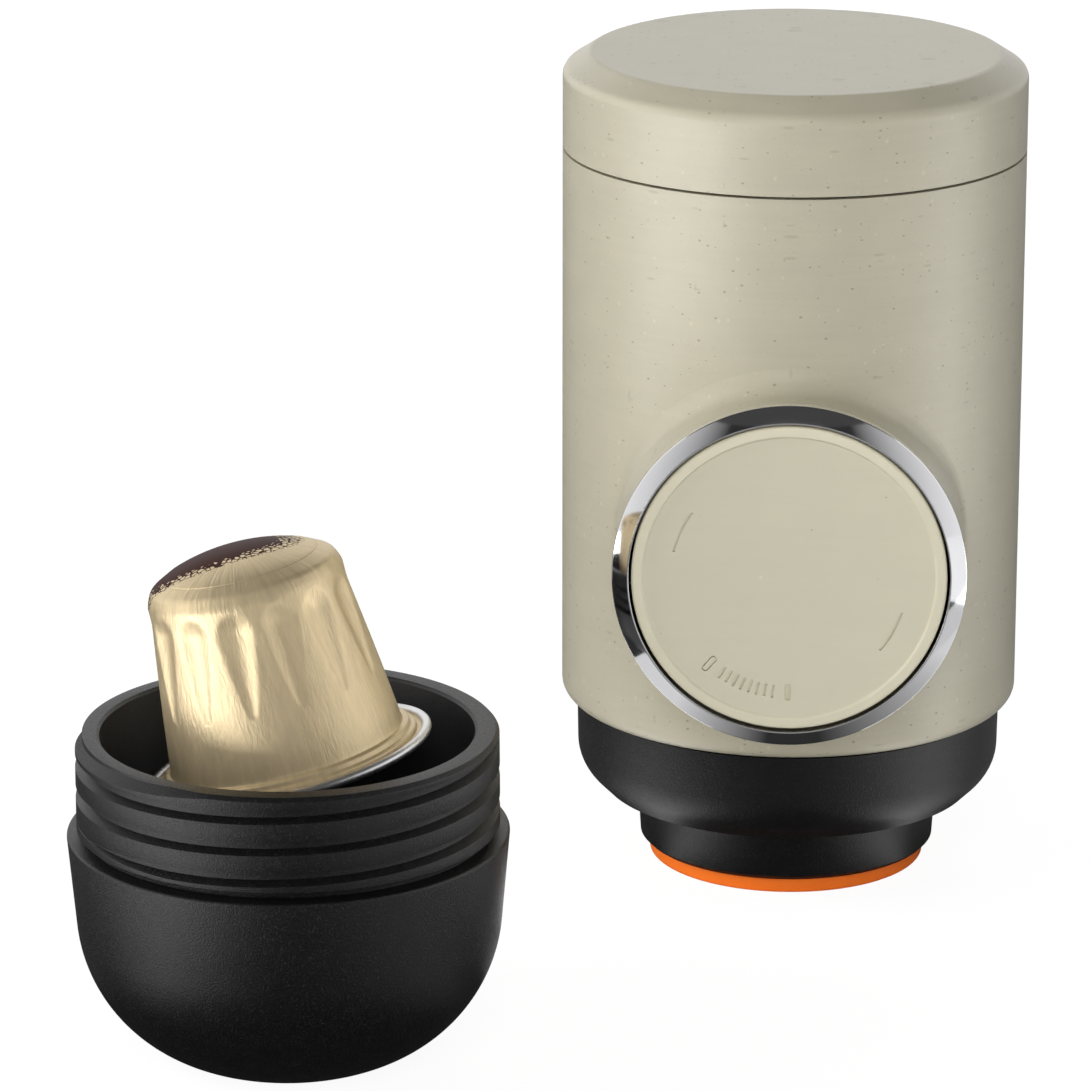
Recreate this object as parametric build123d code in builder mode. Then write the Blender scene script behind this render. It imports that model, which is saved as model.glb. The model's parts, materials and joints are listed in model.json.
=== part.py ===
from build123d import *
import math
import os

# Handheld manual espresso maker with its screw-on cup and one coffee capsule.
# Millimetres. The maker stands on its foot ring with its axis on +Z.
# The origin is the middle of the coffee outlet, on the surface it stands on.
# The piston knob faces -Y, and the cup stands in front and to the left.

# ---------------------------------------------------------------- driving dimensions
# Heights, stacked from the surface upwards
foot_height = 2.25
collar_height = 8.05
head_height = 12.45
seam_gap = 0.35
body_height = 76.33
cap_height = 12.57

# Body shell and tank cap
body_radius = 31.0
body_wall = 2.4
body_edge_radius = 2.0
cap_flat_radius = 27.4
cap_bevel_height = 2.3
cap_side_round = 1.6
cap_top_round = 1.2
cap_roof = 1.8

# Piston boss, bezel and knob. The knob rises with its pump, off the delivery duct
knob_rise = 0.2
boss_reach = 8.8
bezel_radius = 23.05
bezel_width = 2.2
bezel_depth = 2.4
bezel_fall = 1.25
bezel_land = 0.2
bezel_edge_radius = 0.2
bezel_overhang = 0.15
boss_wall = 1.05
boss_blend = 3.0
knob_clearance = 0.35
knob_recess = 0.2
knob_thickness = 3.2
knob_rim_width = 1.6
knob_rim_height = 0.35
knob_rim_slope = 0.25
knob_edge = 0.4
knob_dish = 0.6
boss_sink = 1.0
skirt_inset = 0.05
skirt_wall = 1.5
skirt_length = 20.4
skirt_edge = 0.4

# Piston and pump
stroke = 16.0
rod_radius = 4.0
rod_clearance = 0.06
rod_edge = 0.4
rod_inset = 0.8
rod_neck = 1.5
rod_groove = 0.7
hub_radius = 7.0
hub_length = 12.4
clip_thickness = 0.8
clip_radius = 5.6
clip_clearance = 0.1
clip_pocket = 0.4
clip_mouth = 0.8
lug_radius = 10.8
lug_thickness = 2.0
lug_count = 3
lock_turn = 42.0
lock_stop_angle = 20.0
lock_stop_slack = 2.0
lock_clearance = 0.5
lock_wall = 1.9
lock_lead = 1.0
lock_stop_depth = 1.6
lock_stop_root = 0.2
spring_radius = 5.9
spring_wire = 1.2
spring_turns = 7
spring_seat_gap = 0.05
pump_bore = 8.2
pump_wall = 2.3
pump_flange = 2.0
bush_length = 3.0
stroke_spare = 0.5
piston_clearance = 0.2
piston_edge = 0.3
piston_back_wall = 1.0
seal_clearance = 0.04
piston_length = 6.5
piston_back_gap = 0.5
seal_groove = 1.7
seal_groove_depth = 1.5
seal_land = 1.1
seal_gap = 0.05
seal_round = 0.45
manifold_thickness = 6.5
manifold_rim = 1.0
manifold_port_rise = 0.6
port_root = 0.5
manifold_back_gap = 4.1
gasket_thickness = 0.5
port_radius = 1.2
hose_bore = 1.6
hose_wall = 1.2
barb_length = 3.5
valve_radius = 2.4
valve_length = 3.2
valve_lip = 0.8
valve_wall = 0.6
valve_slit = 0.3
valve_slit_depth = 1.0
valve_seat = 4.5
manifold_screw_count = 4
manifold_screw_radius = 0.9
manifold_screw_head = 1.1
manifold_screw_flange = 0.7
relief_radius = 2.6
relief_length = 4.2
relief_depth = 2.0
relief_nut = 0.8
relief_nut_inset = 0.3
relief_nut_sides = 6
relief_key = 0.7
relief_key_depth = 1.2
duct_radius = 1.2
duct_bore = 0.7
duct_bend = 1.4
duct_clearance = 0.2
duct_socket = 0.6
passage_radius = 0.9
passage_drop = 0.4
hub_seat_depth = 3.8
saddle_width = 18.0
saddle_foot = 6.5
saddle_foot_thickness = 1.6
saddle_screw_x = 6.0
saddle_screw_inset = 2.6

# Water tank
bulkhead_thickness = 2.5
bulkhead_clearance = 0.9
filter_height = 1.8
filter_rim = 0.6
filter_wall = 0.4
filter_depth = 1.1
filter_pitch = 0.62
filter_rows = 3
filter_hole_radius = 0.38
socket_wall = 1.65
tank_clearance = 0.3
tank_wall = 1.5
tank_seal_height = 2.5
tank_seal_round = 0.3
tank_corner = 3.0
tank_inner_corner = 2.4
socket_top_gap = 1.2
tank_roof_gap = 1.6
tank_flange = 1.6

# Brewing end
capsule_clearance = 0.4
chamber_wall = 1.6
chamber_roof = 1.65
chamber_lead_in = 0.8
chamber_crown_room = 1.0
chamber_crown_round = 1.4
chamber_shoulder_rise = 1.2
chamber_rim_wall = 3.1
chamber_thread_radius = 22.4
chamber_thread_wall = 1.8
chamber_flange_radius = 25.0
chamber_flange = 2.4
carrier_thickness = 1.9
carrier_clearance = 0.1
carrier_hole_room = 0.5
collar_clearance = 0.2
head_clearance = 0.4
needle_count = 3
needle_length = 5.0
needle_radius = 1.1
needle_ring = 4.2
needle_tip = 0.15
needle_plate_clearance = 0.3
needle_hole_offset = 1.6
needle_gap = 0.4
needle_first_angle = 90
plate_thickness = 0.8
plate_rise = 3.95
plate_seat = 2.6
plate_clearance = 0.4
plate_hole_radius = 0.55
chamber_gasket = 1.0
chamber_screw_count = 4
plate_hole_pitch = 1.9
plate_hole_rows = 5
flange_room = 0.8
thread_rise = 1.8
seal_squeeze = 0.05
head_seal_inset = 0.2
head_seal_bore_gap = 0.1

# Outlet head
head_inset = 2.1
head_draft = 0.12
head_lip_inset = 3.6
head_lip_rise = 1.5
head_round_rise = 6.0
head_wall = 2.0
head_wall_taper = 0.3
thread_wall_root = 2.4
thread_relief = 0.4
collar_top_radius = 20.6
collar_foot_radius = 20.1
collar_edge = 0.6
floor_thickness = 1.2
floor_seat = 1.0
foot_radius = 18.8
foot_width = 3.4
foot_round = 0.5
spout_radius = 3.2
spout_bore = 1.8
spout_lip = 1.2
spout_lip_height = 0.7
spout_drop = 1.4
spout_taper = 0.5

# Cup, standing at its own place
cup_place = (-62.2, -75.45)
cup_bowl_height = 28.9
cup_shoulder_radius = 27.75
cup_waist_radius = 26.7
cup_waist_height = 17.0
cup_base_radius = 13.7
cup_neck_radius = 26.5
cup_neck_height = 10.9
cup_lip_radius = 26.05
cup_lip_height = 2.2
cup_bore_radius = 23.4
cup_floor = 2.6
cup_mouth_bevel = 0.7
cup_inner_waist_rise = 1.0
cup_base_wall = 2.4

# Capsule, lying tilted in the cup's mouth
capsule_offset = (0.17, 2.0, 36.98)
capsule_lean_left = 13.3
capsule_lean_back = 2.0
capsule_flange_radius = 18.3
capsule_base_radius = 15.0
capsule_shoulder_radius = 12.9
capsule_crown_radius = 8.2
capsule_height = 28.3
capsule_shoulder_height = 23.2
capsule_wall = 0.8
capsule_lid_thickness = 0.6
capsule_bead_radius = 0.65
capsule_bead_sink = 0.1
capsule_step_height = 1.5
capsule_step_rise = 0.9
capsule_step_width = 0.7
capsule_shoulder_inset = 1.0
capsule_shoulder_round = 1.4
capsule_crown_drop = 1.5
capsule_dome_share = 0.55
capsule_dome_drop = 0.5
flute_count = 14
flute_first_angle = 9.6
flute_top = 18.4
flute_bottom = 9.4
flute_depth = 0.5
flute_round = 5.3
flute_tip_round = 0.8
foil_thickness = 0.25
foil_inset = 0.55
bed_clearance = 0.05
bed_drop = 0.1

# Screws
screw_radius = 1.2
screw_head_radius = 2.2
screw_head_height = 1.3
screw_engagement = 1.8
screw_clearance = 0.15
screw_first_angle = 45

# ---------------------------------------------------------------- levels and fits
collar_top = foot_height + collar_height
head_top = collar_top + head_height
body_bottom = head_top + seam_gap
body_top = body_bottom + body_height
cap_bottom = body_top + seam_gap
cap_top = cap_bottom + cap_height
body_bore = body_radius - body_wall

bezel_front = body_radius + boss_reach
boss_front = bezel_front - bezel_depth
boss_radius = bezel_radius - bezel_overhang
boss_bore = boss_radius - boss_wall
boss_root = math.sqrt(body_bore**2 - boss_radius**2) - boss_sink
bezel_bore = bezel_radius - bezel_width
knob_radius = bezel_bore - knob_clearance
knob_front = bezel_front - knob_recess
knob_back = knob_front - knob_thickness
skirt_end = knob_back - skirt_length
hub_end = knob_back - hub_length

pump_radius = pump_bore + pump_wall
pump_back = -(body_bore - manifold_back_gap - manifold_thickness - gasket_thickness)
manifold_face = pump_back - gasket_thickness
manifold_back = manifold_face - manifold_thickness
manifold_radius = pump_radius + manifold_rim
piston_back = pump_back + piston_back_gap
piston_front = piston_back + piston_length
duct_front = duct_radius + duct_clearance
pump_front = max(piston_front + stroke + bush_length + stroke_spare, duct_front + pump_flange)
lock_bore = lug_radius + lock_clearance
lock_radius = lock_bore + lock_wall
lock_front = hub_end + lug_thickness + lock_lead

plate_top = foot_height + plate_rise
plate_bottom = plate_top - plate_thickness
chamber_ceiling = plate_top + capsule_height + capsule_clearance + plate_thickness + needle_gap
chamber_top = chamber_ceiling + chamber_roof
duct_height = chamber_top + duct_bend
knob_height = duct_height + duct_radius + knob_rise + pump_radius

bulkhead_bottom = knob_height + boss_radius + bulkhead_clearance
bulkhead_top = bulkhead_bottom + bulkhead_thickness
socket_bore = body_bore - socket_wall
tank_radius = socket_bore - tank_clearance
tank_mouth = bulkhead_top + tank_seal_height
tank_roof = cap_top - cap_roof - tank_roof_gap
hose_y = -(manifold_face + manifold_back) / 2.0
hose_radius = hose_bore + hose_wall

gasket_bottom = plate_top + flange_room
chamber_bottom = gasket_bottom + chamber_gasket
chamber_mouth_radius = capsule_base_radius + capsule_clearance
chamber_shoulder_radius = capsule_shoulder_radius + capsule_clearance
chamber_shoulder = plate_top + capsule_shoulder_height + capsule_clearance
chamber_rim_radius = chamber_mouth_radius + chamber_rim_wall
head_bore = chamber_thread_radius + head_clearance
collar_bore = chamber_rim_radius + head_clearance
carrier_top = knob_height - boss_radius - carrier_clearance
carrier_bottom = carrier_top - carrier_thickness
chamber_flange_top = carrier_bottom
chamber_flange_bottom = chamber_flange_top - chamber_flange
head_radius = body_radius - head_inset
head_lip_radius = head_radius - head_lip_inset

rod_front = knob_back - rod_inset
hub_seat = knob_back - hub_seat_depth
clip_front = hub_seat + clip_clearance + clip_thickness
clip_bore = rod_radius - rod_groove
rod_neck_radius = rod_radius - rod_neck
seal_inner = pump_bore - seal_groove_depth
seal_starts = (piston_back + seal_land, piston_front - seal_land - seal_groove)
manifold_screw_circle = (pump_bore + manifold_radius) / 2
inlet_port_top = knob_height + manifold_radius + manifold_port_rise
duct_port_bottom = duct_height - duct_radius - manifold_port_rise
duct_start = hose_y - hose_radius + duct_socket
passage_rise = valve_seat + passage_drop
relief_seat = manifold_radius - relief_depth
relief_plane = Plane(origin=(relief_seat, hose_y, knob_height), z_dir=(1, 0, 0))
saddle_screw_y = -pump_back + saddle_foot - saddle_screw_inset
thread_bottom = collar_top + thread_rise
carrier_hole = chamber_shoulder_radius + chamber_wall + carrier_hole_room
chamber_crown_radius = capsule_crown_radius + capsule_clearance + chamber_crown_room
needle_plate_radius = chamber_crown_radius - needle_plate_clearance
chamber_screw_circle = (carrier_hole + chamber_flange_radius) / 2
plate_seat_radius = collar_bore - plate_seat
cup_rim = cup_bowl_height + cup_neck_height + cup_lip_height
cup_inner_base_radius = cup_base_radius - cup_base_wall
capsule_bead_circle = capsule_flange_radius - capsule_bead_radius
capsule_step_top = capsule_step_height + capsule_step_rise
capsule_bend = capsule_shoulder_height - capsule_shoulder_round
capsule_neck_radius = capsule_shoulder_radius - capsule_shoulder_inset
wall_slope = (capsule_base_radius - capsule_shoulder_radius) / (capsule_bend - capsule_step_top)
flute_top_radius = capsule_base_radius - wall_slope * (flute_top - capsule_step_top) - flute_depth
flute_bottom_radius = capsule_base_radius - wall_slope * (flute_bottom - capsule_step_top)
flute_head = Vector(flute_top_radius + flute_round, 0, flute_top)
flute_tip = Vector(flute_bottom_radius + flute_tip_round, 0, flute_bottom)
cap_bore = body_radius - body_wall
cap_inner_roof = cap_top - cap_roof
tank_bore = tank_radius - tank_wall

# Planes: the knob's plane looks out along -Y; the section planes hold half outlines
knob_plane = Plane(origin=(0, 0, knob_height), x_dir=(1, 0, 0), z_dir=(0, -1, 0))
knob_section = Plane(origin=(0, 0, knob_height), x_dir=(1, 0, 0), z_dir=(0, 0, -1))
knob_axis = Axis((0, 0, knob_height), (0, 1, 0))
port_plane = Plane(origin=(0, hose_y, knob_height), x_dir=(1, 0, 0), z_dir=(0, 0, 1))
cup_section = Plane(origin=(cup_place[0], cup_place[1], 0), x_dir=(1, 0, 0), z_dir=(0, -1, 0))
cup_axis = Axis((cup_place[0], cup_place[1], 0), (0, 0, 1))

lean_x = -math.sin(math.radians(capsule_lean_left))
lean_y = math.sin(math.radians(capsule_lean_back))
capsule_up = Vector(lean_x, lean_y, math.sqrt(1 - lean_x**2 - lean_y**2))
capsule_seat = Vector(cup_place[0] + capsule_offset[0], cup_place[1] + capsule_offset[1], capsule_offset[2])
capsule_plane = Plane(origin=capsule_seat, x_dir=Vector(0, 1, 0).cross(capsule_up), z_dir=capsule_up)
capsule_section = Plane(origin=capsule_seat, x_dir=capsule_plane.x_dir, z_dir=capsule_plane.y_dir * -1)
capsule_axis = Axis(capsule_seat, capsule_up)


def tube(plane, outer, inner, length):
    """A plain tube standing on a plane."""
    with BuildSketch(plane) as profile:
        Circle(outer)
        Circle(inner, mode=Mode.SUBTRACT)
    extrude(profile.sketch, amount=length)


def disc(plane, radius, length):
    """A plain round bar standing on a plane."""
    with BuildSketch(plane) as profile:
        Circle(radius)
    extrude(profile.sketch, amount=length)


def bore(plane, radius, length):
    """A round hole cut from a plane inwards."""
    with BuildSketch(plane) as profile:
        Circle(radius)
    extrude(profile.sketch, amount=length, mode=Mode.SUBTRACT)


def front_plane(reach, height):
    """A plane that looks out along -Y, at a distance in front of the body's axis."""
    return Plane(origin=(0, -reach, height), x_dir=(1, 0, 0), z_dir=(0, -1, 0))


def duct_notch(reach, length):
    """Room under a round part for the delivery duct, which runs along Y."""
    bore(front_plane(reach, duct_height), duct_radius + duct_clearance, length)


def sector(inner, outer, first, last):
    """The face of a ring between two angles, in degrees."""
    corners = [
        (radius * math.cos(math.radians(angle)), radius * math.sin(math.radians(angle)))
        for radius, angle in ((inner, first), (outer, first), (outer, last), (inner, last))
    ]
    middle = math.radians((first + last) / 2)
    outer_middle = (outer * math.cos(middle), outer * math.sin(middle))
    inner_middle = (inner * math.cos(middle), inner * math.sin(middle))
    with BuildSketch(mode=Mode.PRIVATE) as face:
        with BuildLine():
            Line(corners[0], corners[1])
            ThreePointArc(corners[1], outer_middle, corners[2])
            Line(corners[2], corners[3])
            ThreePointArc(corners[3], inner_middle, corners[0])
        make_face()
    add(face.sketch_local)


def turned(plane, axis, points):
    """A solid turned from a closed outline of straight runs."""
    with BuildSketch(plane) as profile:
        with BuildLine():
            Polyline(*points, close=True)
        make_face()
    revolve(profile.sketch, axis=axis)


# ---------------------------------------------------------------- body and its covers
with BuildPart() as body_shell:
    disc(Plane.XY.offset(body_bottom), body_radius, body_height)
    lower_edge = body_shell.edges().group_by(Axis.Z)[0]
    fillet(lower_edge, body_edge_radius)
    disc(knob_plane, boss_radius, boss_front)
    plain = (GeomType.CIRCLE, GeomType.LINE)
    blend = [edge for edge in body_shell.edges() if edge.geom_type not in plain]
    fillet(blend, boss_blend)
    bore(Plane.XY.offset(body_bottom), body_bore, body_height)
    tube(knob_plane.offset(boss_root), boss_radius, boss_bore, boss_front - boss_root)
    bore(knob_plane.offset(boss_root), boss_bore, boss_front - boss_root)

with BuildPart() as bezel_ring:
    turned(
        knob_section,
        knob_axis,
        [
            (bezel_bore, boss_front),
            (bezel_radius, boss_front),
            (bezel_radius, bezel_front - bezel_fall),
            (bezel_bore + bezel_land, bezel_front),
            (bezel_bore, bezel_front),
        ],
    )
    bezel_rims = bezel_ring.edges().filter_by(GeomType.CIRCLE)
    inner_reach = bezel_bore + bezel_land + bezel_edge_radius
    outer_rims = [edge for edge in bezel_rims if edge.radius > inner_reach]
    fillet([edge for edge in outer_rims if edge.center().Y < -boss_front], bezel_edge_radius)

with BuildPart() as guide_sleeve:
    tube(knob_plane.offset(boss_root), boss_bore, bezel_bore, boss_front - boss_root)

with BuildPart() as base_ring:
    tube(Plane.XY.offset(body_bottom), body_bore, body_bore - socket_wall, carrier_bottom - body_bottom)

# ---------------------------------------------------------------- water tank
with BuildPart() as tank_cap:
    turned(
        Plane.XZ,
        Axis.Z,
        [
            (0, cap_top),
            (cap_flat_radius, cap_top),
            (body_radius, cap_top - cap_bevel_height),
            (body_radius, cap_bottom),
            (cap_bore, cap_bottom),
            (cap_bore, cap_inner_roof - cap_bevel_height),
            (cap_flat_radius - body_wall, cap_inner_roof),
            (0, cap_inner_roof),
        ],
    )
    rims = tank_cap.edges().filter_by(GeomType.CIRCLE)
    upper_rims = [edge for edge in rims if edge.center().Z > cap_bottom]
    fillet([edge for edge in upper_rims if edge.radius > cap_bore], cap_side_round)
    fillet(tank_cap.edges().filter_by(GeomType.CIRCLE).group_by(Axis.Z)[-1], cap_top_round)

with BuildPart() as tank_liner:
    turned(
        Plane.XZ,
        Axis.Z,
        [
            (tank_bore, tank_mouth),
            (tank_radius, tank_mouth),
            (tank_radius, cap_bottom),
            (cap_bore, cap_bottom),
            (cap_bore, cap_bottom + tank_flange),
            (tank_radius, cap_bottom + tank_flange),
            (tank_radius, tank_roof - tank_corner),
            (tank_radius - tank_corner, tank_roof),
            (0, tank_roof),
            (0, tank_roof - tank_wall),
            (tank_bore - tank_inner_corner, tank_roof - tank_wall),
            (tank_bore, tank_roof - tank_wall - tank_inner_corner),
        ],
    )

with BuildPart() as tank_seal_ring:
    tube(Plane.XY.offset(bulkhead_top), tank_radius, tank_bore, tank_seal_height)
    fillet(tank_seal_ring.edges(), tank_seal_round)

with BuildPart() as tank_socket:
    tube(Plane.XY.offset(bulkhead_top), body_bore, socket_bore, body_top - bulkhead_top - socket_top_gap)

with BuildPart() as bulkhead:
    disc(Plane.XY.offset(bulkhead_bottom), body_bore, bulkhead_thickness)
    barb_plane = Plane.XY.offset(bulkhead_bottom - barb_length).move(Location((0, hose_y, 0)))
    disc(barb_plane, hose_bore, barb_length)
    bore(barb_plane, port_radius, barb_length + bulkhead_thickness)

with BuildPart() as inlet_filter:
    filter_plane = Plane.XY.offset(bulkhead_top).move(Location((0, hose_y, 0)))
    disc(filter_plane, hose_radius + filter_rim, filter_height)
    bore(filter_plane, hose_radius - filter_wall, filter_depth)
    with BuildSketch(filter_plane):
        with HexLocations(filter_pitch, filter_rows, filter_rows):
            Circle(filter_hole_radius)
    extrude(amount=filter_height, mode=Mode.SUBTRACT)

# ---------------------------------------------------------------- pump
with BuildPart() as pump_cylinder:
    tube(knob_plane.offset(pump_back), pump_radius, pump_bore, pump_front - pump_back)
    tube(knob_plane.offset(pump_front - pump_flange), lock_radius, pump_bore, pump_flange)
    tube(knob_plane.offset(pump_back), manifold_radius, pump_bore, pump_flange)
    with BuildSketch(knob_plane.offset(pump_back)):
        with PolarLocations(manifold_screw_circle, manifold_screw_count, start_angle=screw_first_angle):
            Circle(manifold_screw_radius)
    extrude(amount=pump_flange, mode=Mode.SUBTRACT)
    duct_notch(pump_back, pump_flange)

with BuildPart() as rod_bush:
    tube(knob_plane.offset(pump_front - bush_length), pump_bore, rod_radius + rod_clearance, bush_length)

with BuildPart() as lock_collar:
    tube(knob_plane.offset(pump_front), lock_radius, lock_bore, lock_front - pump_front)
    for stop in range(lug_count):
        middle = stop * 360 / lug_count
        with BuildSketch(knob_plane.offset(hub_end - lock_lead)):
            sector(
                lug_radius - lock_stop_depth,
                lock_bore + lock_stop_root,
                middle - lock_stop_angle / 2,
                middle + lock_stop_angle / 2,
            )
        extrude(amount=lock_front - hub_end + lock_lead)

with BuildPart() as pump_gasket:
    tube(knob_plane.offset(manifold_face), manifold_radius, pump_bore, gasket_thickness)
    with BuildSketch(knob_plane.offset(manifold_face)):
        with PolarLocations(manifold_screw_circle, manifold_screw_count, start_angle=screw_first_angle):
            Circle(manifold_screw_radius + screw_clearance)
    extrude(amount=gasket_thickness, mode=Mode.SUBTRACT)
    duct_notch(manifold_face, gasket_thickness)

with BuildPart() as manifold:
    disc(knob_plane.offset(manifold_back), manifold_radius, manifold_thickness)
    # hose port above, duct port below, each a boss on the block's middle plane
    port_rise = inlet_port_top - knob_height
    port_drop = knob_height - duct_port_bottom
    disc(port_plane.offset(port_root), hose_radius, port_rise - port_root)
    disc(port_plane.offset(-port_drop), hose_radius, port_drop - port_root)
    disc(port_plane.offset(port_rise), hose_bore, barb_length)
    duct_notch(-duct_start, duct_start + manifold_face)
    bore(port_plane.offset(valve_seat), port_radius, port_rise + barb_length - valve_seat)
    bore(port_plane.offset(duct_height - knob_height), port_radius, knob_height - duct_height - valve_seat)
    for side in (1, -1):
        pocket = min(side * valve_seat, side * (valve_seat + valve_length))
        bore(port_plane.offset(pocket), valve_radius, valve_length)
        passage_plane = front_plane(-hose_y, knob_height + side * passage_rise)
        bore(passage_plane, passage_radius, hose_y + manifold_face)
    bore(front_plane(-hose_y, duct_height), duct_bore, hose_radius)
    with BuildSketch(knob_plane.offset(manifold_back)):
        with PolarLocations(manifold_screw_circle, manifold_screw_count, start_angle=screw_first_angle):
            Circle(manifold_screw_radius + screw_clearance)
    extrude(amount=manifold_thickness, mode=Mode.SUBTRACT)
    bore(relief_plane, relief_radius, manifold_radius - relief_seat)
    bore(relief_plane.offset(-relief_depth), relief_radius / 3, relief_depth)

with BuildPart() as inlet_valve:
    valve_start = valve_seat + valve_lip
    disc(port_plane.offset(valve_start), valve_radius, valve_length - valve_lip)
    bore(port_plane.offset(valve_start + valve_wall), port_radius, valve_length - valve_lip - valve_wall)
    with BuildSketch(port_plane.offset(valve_start)):
        Rectangle(2 * port_radius, valve_slit)
    extrude(amount=valve_slit_depth, mode=Mode.SUBTRACT)

with BuildPart() as outlet_valve:
    valve_end = -valve_seat - valve_length
    disc(port_plane.offset(valve_end), valve_radius, valve_length - valve_lip)
    bore(port_plane.offset(valve_end + valve_wall), port_radius, valve_length - valve_lip - valve_wall)
    with BuildSketch(port_plane.offset(valve_end)):
        Rectangle(2 * port_radius, valve_slit)
    extrude(amount=valve_slit_depth, mode=Mode.SUBTRACT)

with BuildPart() as relief_valve:
    disc(relief_plane, relief_radius, relief_length)
    with BuildSketch(relief_plane.offset(relief_length)):
        RegularPolygon(relief_radius - relief_nut_inset, relief_nut_sides)
    extrude(amount=relief_nut)
    bore(relief_plane.offset(relief_length + relief_nut - relief_key_depth), relief_key, relief_key_depth)

with BuildPart() as manifold_screws:
    with BuildSketch(knob_plane.offset(manifold_back - manifold_screw_head)):
        with PolarLocations(manifold_screw_circle, manifold_screw_count, start_angle=screw_first_angle):
            Circle(manifold_screw_radius + manifold_screw_flange)
    extrude(amount=manifold_screw_head)
    with BuildSketch(knob_plane.offset(manifold_back)):
        with PolarLocations(manifold_screw_circle, manifold_screw_count, start_angle=screw_first_angle):
            Circle(manifold_screw_radius)
    extrude(amount=manifold_thickness + gasket_thickness + pump_flange)

with BuildPart() as inlet_hose:
    hose_length = bulkhead_bottom - inlet_port_top
    tube(port_plane.offset(inlet_port_top - knob_height), hose_radius, hose_bore, hose_length)

with BuildPart() as delivery_duct:
    with BuildLine():
        run = Line((0, duct_start, duct_height), (0, duct_bend, duct_height))
        JernArc(run @ 1, run % 1, duct_bend, 90)
    with BuildSketch(Plane(origin=run @ 0, z_dir=run % 0)):
        Circle(duct_radius)
        Circle(duct_bore, mode=Mode.SUBTRACT)
    sweep()

with BuildPart() as pump_saddle:
    with BuildSketch(knob_plane.offset(pump_back)):
        with Locations((0, carrier_top - knob_height)):
            Rectangle(saddle_width, knob_height - carrier_top, align=(Align.CENTER, Align.MIN))
        Circle(manifold_radius, mode=Mode.SUBTRACT)
        with Locations((0, duct_height - knob_height)):
            Circle(duct_radius + duct_clearance, mode=Mode.SUBTRACT)
    extrude(amount=pump_flange)
    with BuildSketch(Plane.XY.offset(carrier_top)):
        with Locations((0, -pump_back)):
            Rectangle(saddle_width, saddle_foot, align=(Align.CENTER, Align.MIN))
        with Locations((-saddle_screw_x, saddle_screw_y), (saddle_screw_x, saddle_screw_y)):
            Circle(screw_radius + screw_clearance, mode=Mode.SUBTRACT)
    extrude(amount=saddle_foot_thickness)

# ---------------------------------------------------------------- piston and knob
with BuildPart() as piston_rod:
    turned(
        knob_section,
        knob_axis,
        [
            (0, rod_front),
            (rod_radius - rod_edge, rod_front),
            (rod_radius, rod_front - rod_edge),
            (rod_radius, clip_front),
            (clip_bore, clip_front),
            (clip_bore, clip_front - clip_thickness),
            (rod_radius, clip_front - clip_thickness),
            (rod_radius, piston_front),
            (rod_neck_radius, piston_front),
            (rod_neck_radius, piston_back + piston_back_wall),
            (0, piston_back + piston_back_wall),
        ],
    )

with BuildPart() as rod_clip:
    tube(knob_plane.offset(clip_front - clip_thickness), clip_radius, clip_bore, clip_thickness)
    with BuildSketch(knob_plane.offset(clip_front - clip_thickness)):
        Rectangle(2 * clip_bore * clip_mouth, 2 * clip_radius, align=(Align.CENTER, Align.MAX))
    extrude(amount=clip_thickness, mode=Mode.SUBTRACT)

with BuildPart() as piston_head:
    disc(knob_plane.offset(piston_back), pump_bore - piston_clearance, piston_length)
    chamfer(piston_head.edges(), piston_edge)
    for groove_start in seal_starts:
        with BuildSketch(knob_plane.offset(groove_start)):
            Circle(pump_bore)
            Circle(seal_inner, mode=Mode.SUBTRACT)
        extrude(amount=seal_groove, mode=Mode.SUBTRACT)
    bore(knob_plane.offset(piston_back + piston_back_wall), rod_neck_radius, piston_length)

with BuildPart() as piston_seals:
    for groove_start in seal_starts:
        seal_plane = knob_plane.offset(groove_start + seal_gap)
        tube(seal_plane, pump_bore - seal_clearance, seal_inner, seal_groove - 2 * seal_gap)
    seal_rims = piston_seals.edges().filter_by(GeomType.CIRCLE)
    fillet([edge for edge in seal_rims if edge.radius > seal_inner + seal_gap], seal_round)

with BuildPart() as return_spring:
    coil_height = hub_end - pump_front - spring_wire - 2 * spring_seat_gap
    coil_start = (0, -pump_front - spring_wire / 2 - spring_seat_gap, knob_height)
    with BuildLine():
        coil = Helix(coil_height / spring_turns, coil_height, spring_radius, coil_start, (0, -1, 0))
    with BuildSketch(Plane(origin=coil @ 0, z_dir=coil % 0)):
        Circle(spring_wire / 2)
    sweep(is_frenet=True)

with BuildPart() as knob_cap:
    with BuildSketch(knob_section):
        with BuildLine():
            rim_inner = knob_radius - knob_rim_width
            dish_edge = knob_front - knob_rim_height
            dish_middle = (rim_inner / 2, dish_edge - knob_dish * 3 / 4)
            ThreePointArc((0, dish_edge - knob_dish), dish_middle, (rim_inner, dish_edge))
            Polyline(
                (rim_inner, dish_edge),
                (rim_inner + knob_rim_slope, knob_front),
                (knob_radius - knob_edge, knob_front),
                (knob_radius, knob_front - knob_edge),
                (knob_radius, knob_back),
                (hub_radius, knob_back),
                (hub_radius, hub_end),
                (rod_radius + rod_clearance, hub_end),
                (rod_radius + rod_clearance, hub_seat),
                (clip_radius + clip_pocket, hub_seat),
                (clip_radius + clip_pocket, knob_back),
                (0, knob_back),
                (0, dish_edge - knob_dish),
            )
        make_face()
    revolve(axis=knob_axis)
    lug_angle = 360 / lug_count - lock_stop_angle - lock_turn - 2 * lock_stop_slack
    lug_start = lock_stop_angle / 2 + lock_stop_slack
    for lug in range(lug_count):
        first = lug_start + lug * 360 / lug_count
        with BuildSketch(knob_plane.offset(hub_end)):
            sector(hub_radius - lock_clearance, lug_radius, first, first + lug_angle)
        extrude(amount=lug_thickness)

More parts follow.
